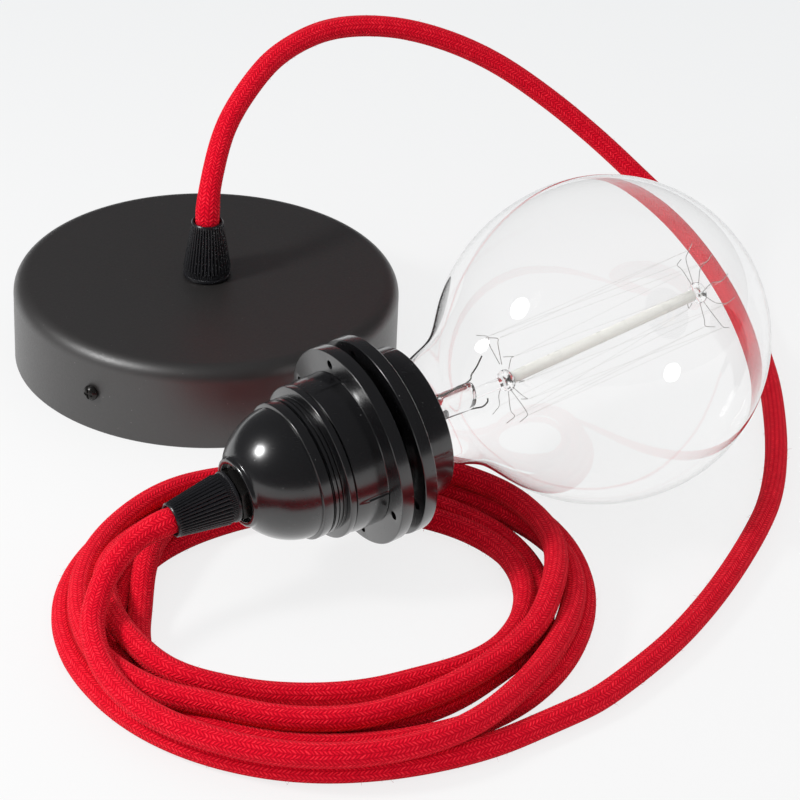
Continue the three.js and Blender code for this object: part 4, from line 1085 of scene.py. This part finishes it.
# The table's glow is painted darker towards the back, from near_white at the front to a greyer
# far_white: a painted falloff of the light, not a tint of the table.
spot = node(tree, "ShaderNodeTexCoord").outputs["Object"]
depth = node(tree, "ShaderNodeSeparateXYZ", {0: spot}).outputs["Y"]
near_white = (0.935, 0.935, 0.935, 1)
far_white = (0.862, 0.873, 0.88, 1)
painted_falloff = node(tree, "ShaderNodeMix", {"Factor": spread(tree, depth, -0.1, 0.35, 0.0, 1.0),
                                     "A": near_white, "B": far_white}, data_type="RGBA")
glow = node(tree, "ShaderNodeEmission", {"Color": painted_falloff.outputs["Result"], "Strength": 1.0})
mixed = node(tree, "ShaderNodeMixShader", {0: share, 1: shader.outputs[0],
                                           2: glow.outputs[0]})
tree.links.new(mixed.outputs[0], tree.nodes["Material Output"].inputs["Surface"])
floor_mesh.materials.append(table_white)

world = bpy.data.worlds.new("studio")
bpy.context.scene.world = world
world.use_nodes = True
tree = world.node_tree
background = tree.nodes["Background"]
background.inputs["Color"].default_value = (0.82, 0.82, 0.83, 1)
path_kind = node(tree, "ShaderNodeLightPath")
white = node(tree, "ShaderNodeBackground", {"Color": (1, 1, 1, 1), "Strength": 1.0})
dim = node(tree, "ShaderNodeBackground", {"Color": (0.095, 0.095, 0.1, 1), "Strength": 1.0})
seen = maths(tree, "MAXIMUM", path_kind.outputs["Is Camera Ray"],
             path_kind.outputs["Is Transmission Ray"])
mirrored = node(tree, "ShaderNodeMixShader", {0: path_kind.outputs["Is Glossy Ray"],
                                              1: background.outputs[0], 2: dim.outputs[0]})
mixed = node(tree, "ShaderNodeMixShader", {0: seen, 1: mirrored.outputs[0],
                                           2: white.outputs[0]})
tree.links.new(mixed.outputs[0], tree.nodes["World Output"].inputs["Surface"])


def lamp(name, place, target, size, power):
    """A round soft lamp that looks from its place to a target, both in metres. Over its face the
    light falls from the middle to nothing at the rim, as 2 (1 - (2 distance / size)^2)."""
    data = bpy.data.lights.new(name, "AREA")
    data.shape = "DISK"
    data.size = size
    data.energy = power
    data.use_nodes = True
    face = data.node_tree
    spot = node(face, "ShaderNodeNewGeometry").outputs["Parametric"]
    across = node(face, "ShaderNodeVectorMath", {0: spot, 1: (0.5, 0.5, 0.0)}, operation="SUBTRACT")
    squared = node(face, "ShaderNodeVectorMath", {0: across.outputs[0], 1: across.outputs[0]},
                   operation="DOT_PRODUCT")
    fall = maths(face, "MULTIPLY_ADD", squared.outputs["Value"], -8.0, 2.0)
    face.links.new(maths(face, "MAXIMUM", fall, 0.0), face.nodes["Emission"].inputs["Strength"])
    made = put(name, data)
    made.location = place
    away = np.array(place) - np.array(target)
    heading = math.atan2(away[1], away[0])
    rise = math.atan2(away[2], math.hypot(away[0], away[1]))
    made.rotation_euler = (math.pi / 2 - rise, 0, heading + math.pi / 2)


lamp("key", (-0.42, -0.24, 0.42), (0.04, -0.05, 0.02), 0.16, 2.6)

camera_place = (0.06186, -0.851, 0.4843)
camera_elevation = math.radians(30.41)
camera_roll = math.radians(2.59)
sensor = 36.0
focal_length = 139.4
view = np.array([0, math.cos(camera_elevation), -math.sin(camera_elevation)])
right = np.array([1.0, 0, 0])
top = np.array([0, math.sin(camera_elevation), math.cos(camera_elevation)])
rolled_right = right * math.cos(camera_roll) + top * math.sin(camera_roll)
rolled_top = top * math.cos(camera_roll) - right * math.sin(camera_roll)
camera_data = bpy.data.cameras.new("camera")
camera_data.sensor_width = sensor
camera_data.lens = focal_length
camera_data.clip_start = 0.01
camera = put("camera", camera_data)
pose = np.eye(4)
pose[:3] = np.stack([rolled_right, rolled_top, -view, camera_place], axis=-1)
camera.matrix_world = Matrix(pose.tolist())
bpy.context.scene.camera = camera
bpy.context.scene.view_settings.view_transform = "Standard"

bpy.context.view_layer.update()
